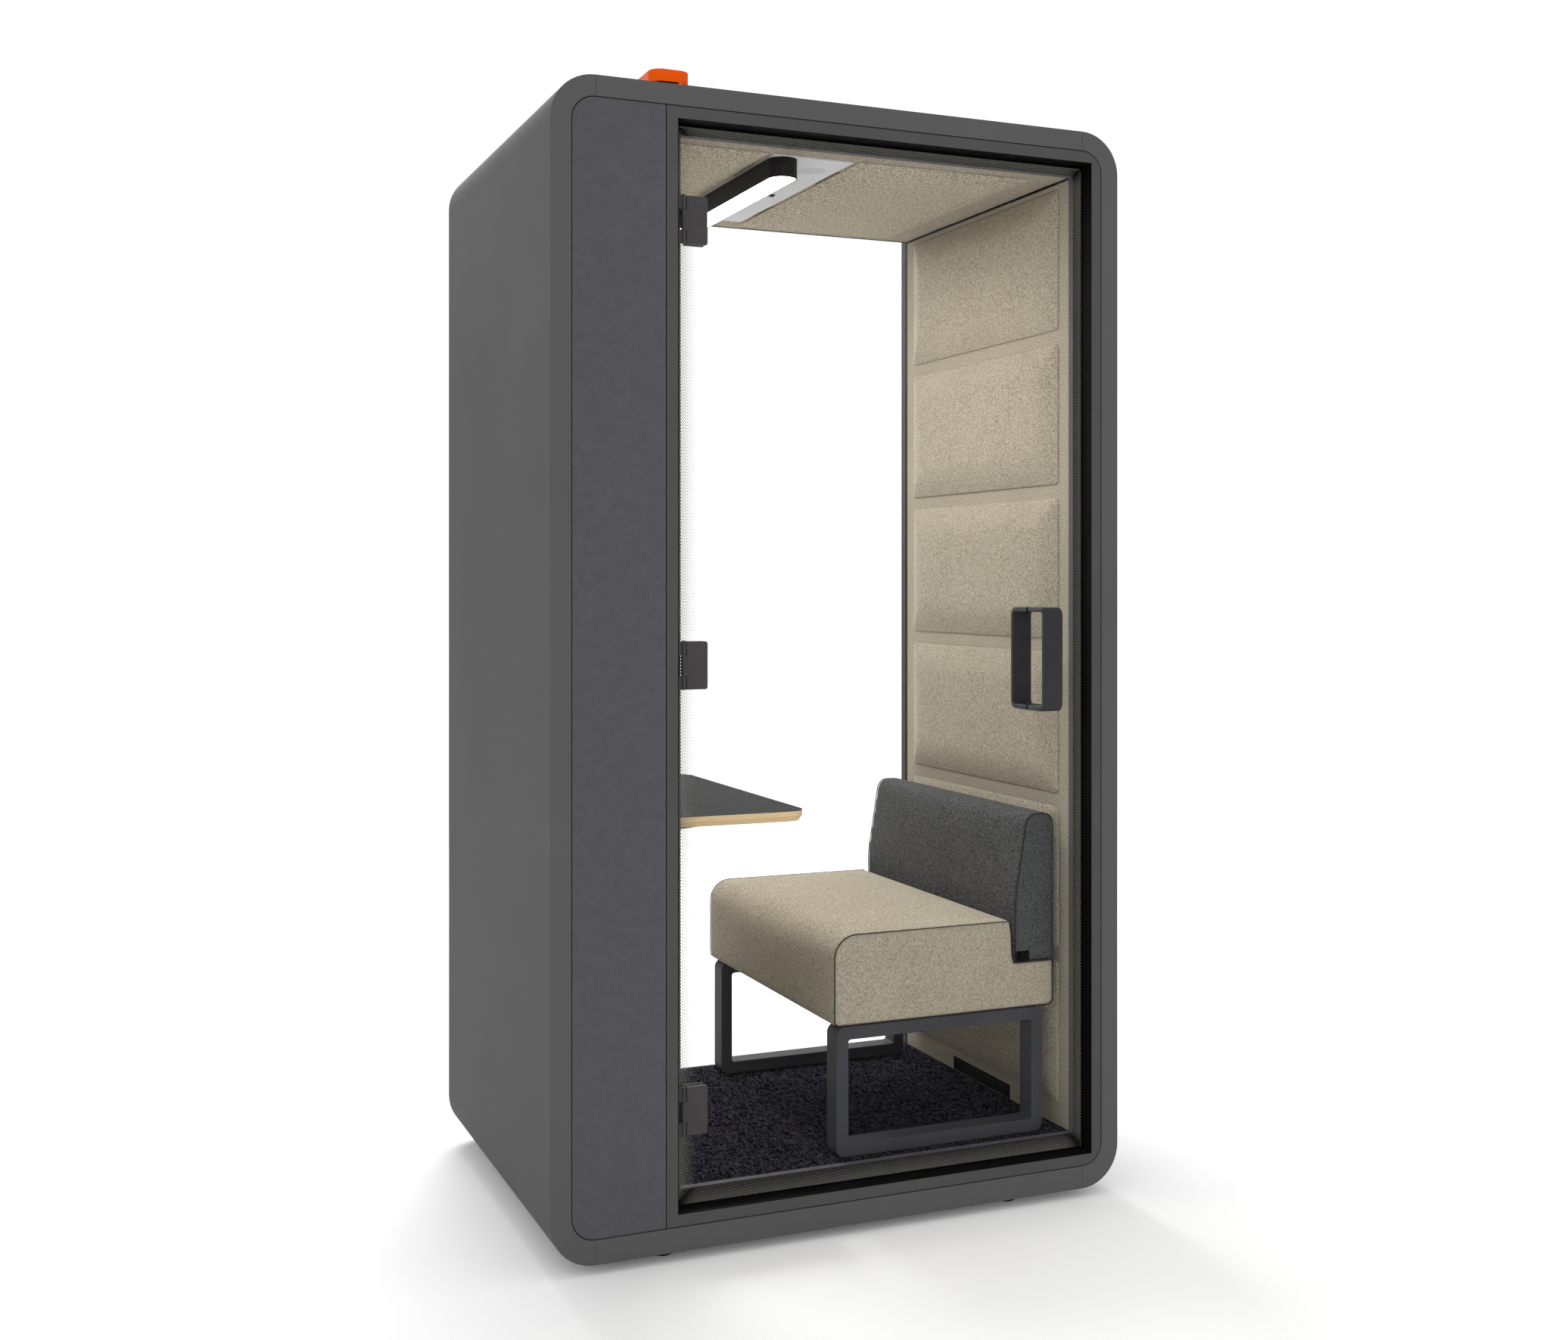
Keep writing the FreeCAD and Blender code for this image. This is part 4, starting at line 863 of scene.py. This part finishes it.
# %% Welts in the seams
def welt(name, outline, finish, radius=0.0012, sunk=0.0016, drawn_in=0.002):
    curve = bpy.data.curves.new(name, "CURVE")
    curve.dimensions = "3D"
    curve.bevel_depth = radius
    curve.bevel_resolution = 2
    low = [min(spot[n] for spot in outline) for n in range(3)]
    high = [max(spot[n] for spot in outline) for n in range(3)]

    def inward(spot, n):
        return spot[n] + (low[n] + high[n] - 2 * spot[n]) * drawn_in / (high[n] - low[n])

    for y in (bench_y[0] + sunk, bench_y[1] - sunk):
        line = curve.splines.new("POLY")
        line.points.add(len(outline) - 1)
        line.use_cyclic_u = True
        for point, spot in zip(line.points, outline):
            point.co = (inward(spot, 0), y, inward(spot, 2), 1)
    drawn = bpy.data.objects.new(name, curve)
    shape = bmesh.new()
    shape.from_mesh(bpy.data.meshes.new_from_object(drawn))
    bpy.data.objects.remove(drawn)
    return piece(shape, name, finish)


welt("seat_welts", seat_outline, welt_dark)
welt("back_welts", back_outline, welt_black)

# %% [markdown]
# The small tag sewn on at the foot of the backrest is plain black weave: a thin slab with its
# edges just broken, moved to where the cover's end lies after the swelling.

# %% Tag
shape = bmesh.new()
slab = bmesh.ops.create_cube(shape, size=1.0)["verts"]
bmesh.ops.scale(shape, vec=tag_high - tag_low, verts=slab)
end_y = min(v.co.y for v in back.data.vertices if v.co.z < tag_high.z and v.co.x < tag_high.x)
sewn_on = Vector((0, end_y - tag_high.y, 0))
bmesh.ops.translate(shape, vec=(tag_low + tag_high) / 2 + sewn_on, verts=slab)
bmesh.ops.bevel(
    shape, geom=shape.edges[:], offset=0.0003, affect="EDGES", segments=2, profile=0.5, material=-1)
piece(shape, "woven_tag", tag_weave, stands_for=["seat_tag"])

# %% [markdown]
# ## Carpet
# The carpet lies wall to wall. A grid with a slow noise gives its slightly matted top, a hair
# below the height where the bench stands, and its rim is extruded to the board. Single fibres
# would take millions of hairs, so they are left to the finish.

# %% Carpet
carpet_low, carpet_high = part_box("carpet")
size = carpet_high - carpet_low
middle = (carpet_low + carpet_high) / 2
below_top, matting_depth = 0.0001, 0.0007
shape = bmesh.new()
bmesh.ops.create_grid(shape, x_segments=150, y_segments=106, size=0.5)
bmesh.ops.scale(shape, vec=(size.x, size.y, 1), verts=shape.verts[:])
bmesh.ops.translate(shape, vec=(middle.x, middle.y, 0), verts=shape.verts[:])
for vert in shape.verts:
    matting = 0.5 + 0.5 * noise.noise(vert.co * 22)
    vert.co.z = carpet_high.z - below_top - matting_depth * matting
rim = [edge for edge in shape.edges if edge.is_boundary]
for item in bmesh.ops.extrude_edge_only(shape, edges=rim)["geom"]:
    if isinstance(item, bmesh.types.BMVert):
        item.co.z = carpet_low.z
bmesh.ops.holes_fill(shape, edges=shape.edges[:], sides=0)
piece(shape, "felt_carpet", needle_felt, stands_for=["carpet"])

# %% [markdown]
# ## Dot print on the door
# A grey ceramic print runs round the door's edge: dots on a lattice, nearly touching at the edge
# and fading out 40 mm in. On a dark ground it looks pale and on a white one dark. One short row
# across the band is made from small discs, and an Array repeats it along each edge. All four
# edges share one lattice, so dots that meet at the corners fall on each other.

# %% Dot print
glass_low, glass_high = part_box("door_glass")
glass_size = glass_high - glass_low
steps_x, steps_z = 192, 344
pitch_x, pitch_z = glass_size.x / steps_x, glass_size.z / steps_z
print_y = glass_low.y - 0.00008
band, fade_out, largest_dot = 0.042, 0.048, 0.0016
dot_pale = powder_coat("dot_pale", paint(122, 122, 114), paint(128, 128, 120), 0.5, 0.06, 1500)


def dot_radius(depth):
    return largest_dot * (1 - (depth / fade_out) ** 1.3)


def dot_strip(along_z, mirrored):
    """A row of dots across the band, repeated along one edge of the glass."""
    shape = bmesh.new()
    pitch_in, pitch_on = (pitch_x, pitch_z) if along_z else (pitch_z, pitch_x)
    for half_steps in range(1, int(band / pitch_in) * 2 + 1):
        depth = half_steps * pitch_in / 2
        on = pitch_on / 2 if half_steps % 2 else pitch_on
        x, z = (depth, on) if along_z else (on, depth)
        if mirrored:
            x, z = (glass_size.x - x, z) if along_z else (x, glass_size.z - z)
        spot = Matrix.Translation((glass_low.x + x, print_y, glass_low.z + z))
        spot = spot @ Matrix.Rotation(math.pi / 2, 4, "X")
        bmesh.ops.create_circle(
            shape, cap_ends=True, segments=8, radius=dot_radius(depth), matrix=spot)
    mesh = bpy.data.meshes.new("dot_row")
    shape.to_mesh(mesh)
    shape.free()
    row = bpy.data.objects.new("dot_row", mesh)
    bpy.context.scene.collection.objects.link(row)
    repeat = row.modifiers.new("along", "ARRAY")
    repeat.count = (steps_z if along_z else steps_x) - 1
    repeat.use_relative_offset = False
    repeat.use_constant_offset = True
    repeat.constant_offset_displace = (0, 0, pitch_z) if along_z else (pitch_x, 0, 0)
    settle(row)
    mesh = row.data
    bpy.data.objects.remove(row)
    return mesh


shape = bmesh.new()
for along_z in (True, False):
    for mirrored in (True, False):
        strip = dot_strip(along_z, mirrored)
        shape.from_mesh(strip)
        bpy.data.meshes.remove(strip)
piece(shape, "dot_print", dot_pale, body="door")

# %% [markdown]
# ## Painted shade in the corners
# Where the ceiling meets the walls a thin black bar lies in the joint: painted shade that stands
# in for the shadow of the gap there. Two long boxes do, because only one edge of each shows.

# %% Corner shadow bars
# Painted shade: black bars for the shadow of the gap in each ceiling corner.
shadow_bar_size = (0.004, 0.777, 0.004)
shadow_bar_x, shadow_bar_y, shadow_bar_z = 0.5479, 0.01425, 2.2109
shape = bmesh.new()
for side in (-1, 1):
    bar = bmesh.ops.create_cube(shape, size=1.0)["verts"]
    bmesh.ops.scale(shape, vec=shadow_bar_size, verts=bar)
    bmesh.ops.translate(shape, vec=(side * shadow_bar_x, shadow_bar_y, shadow_bar_z), verts=bar)
piece(shape, "corner_shadow_bars", frame_black)
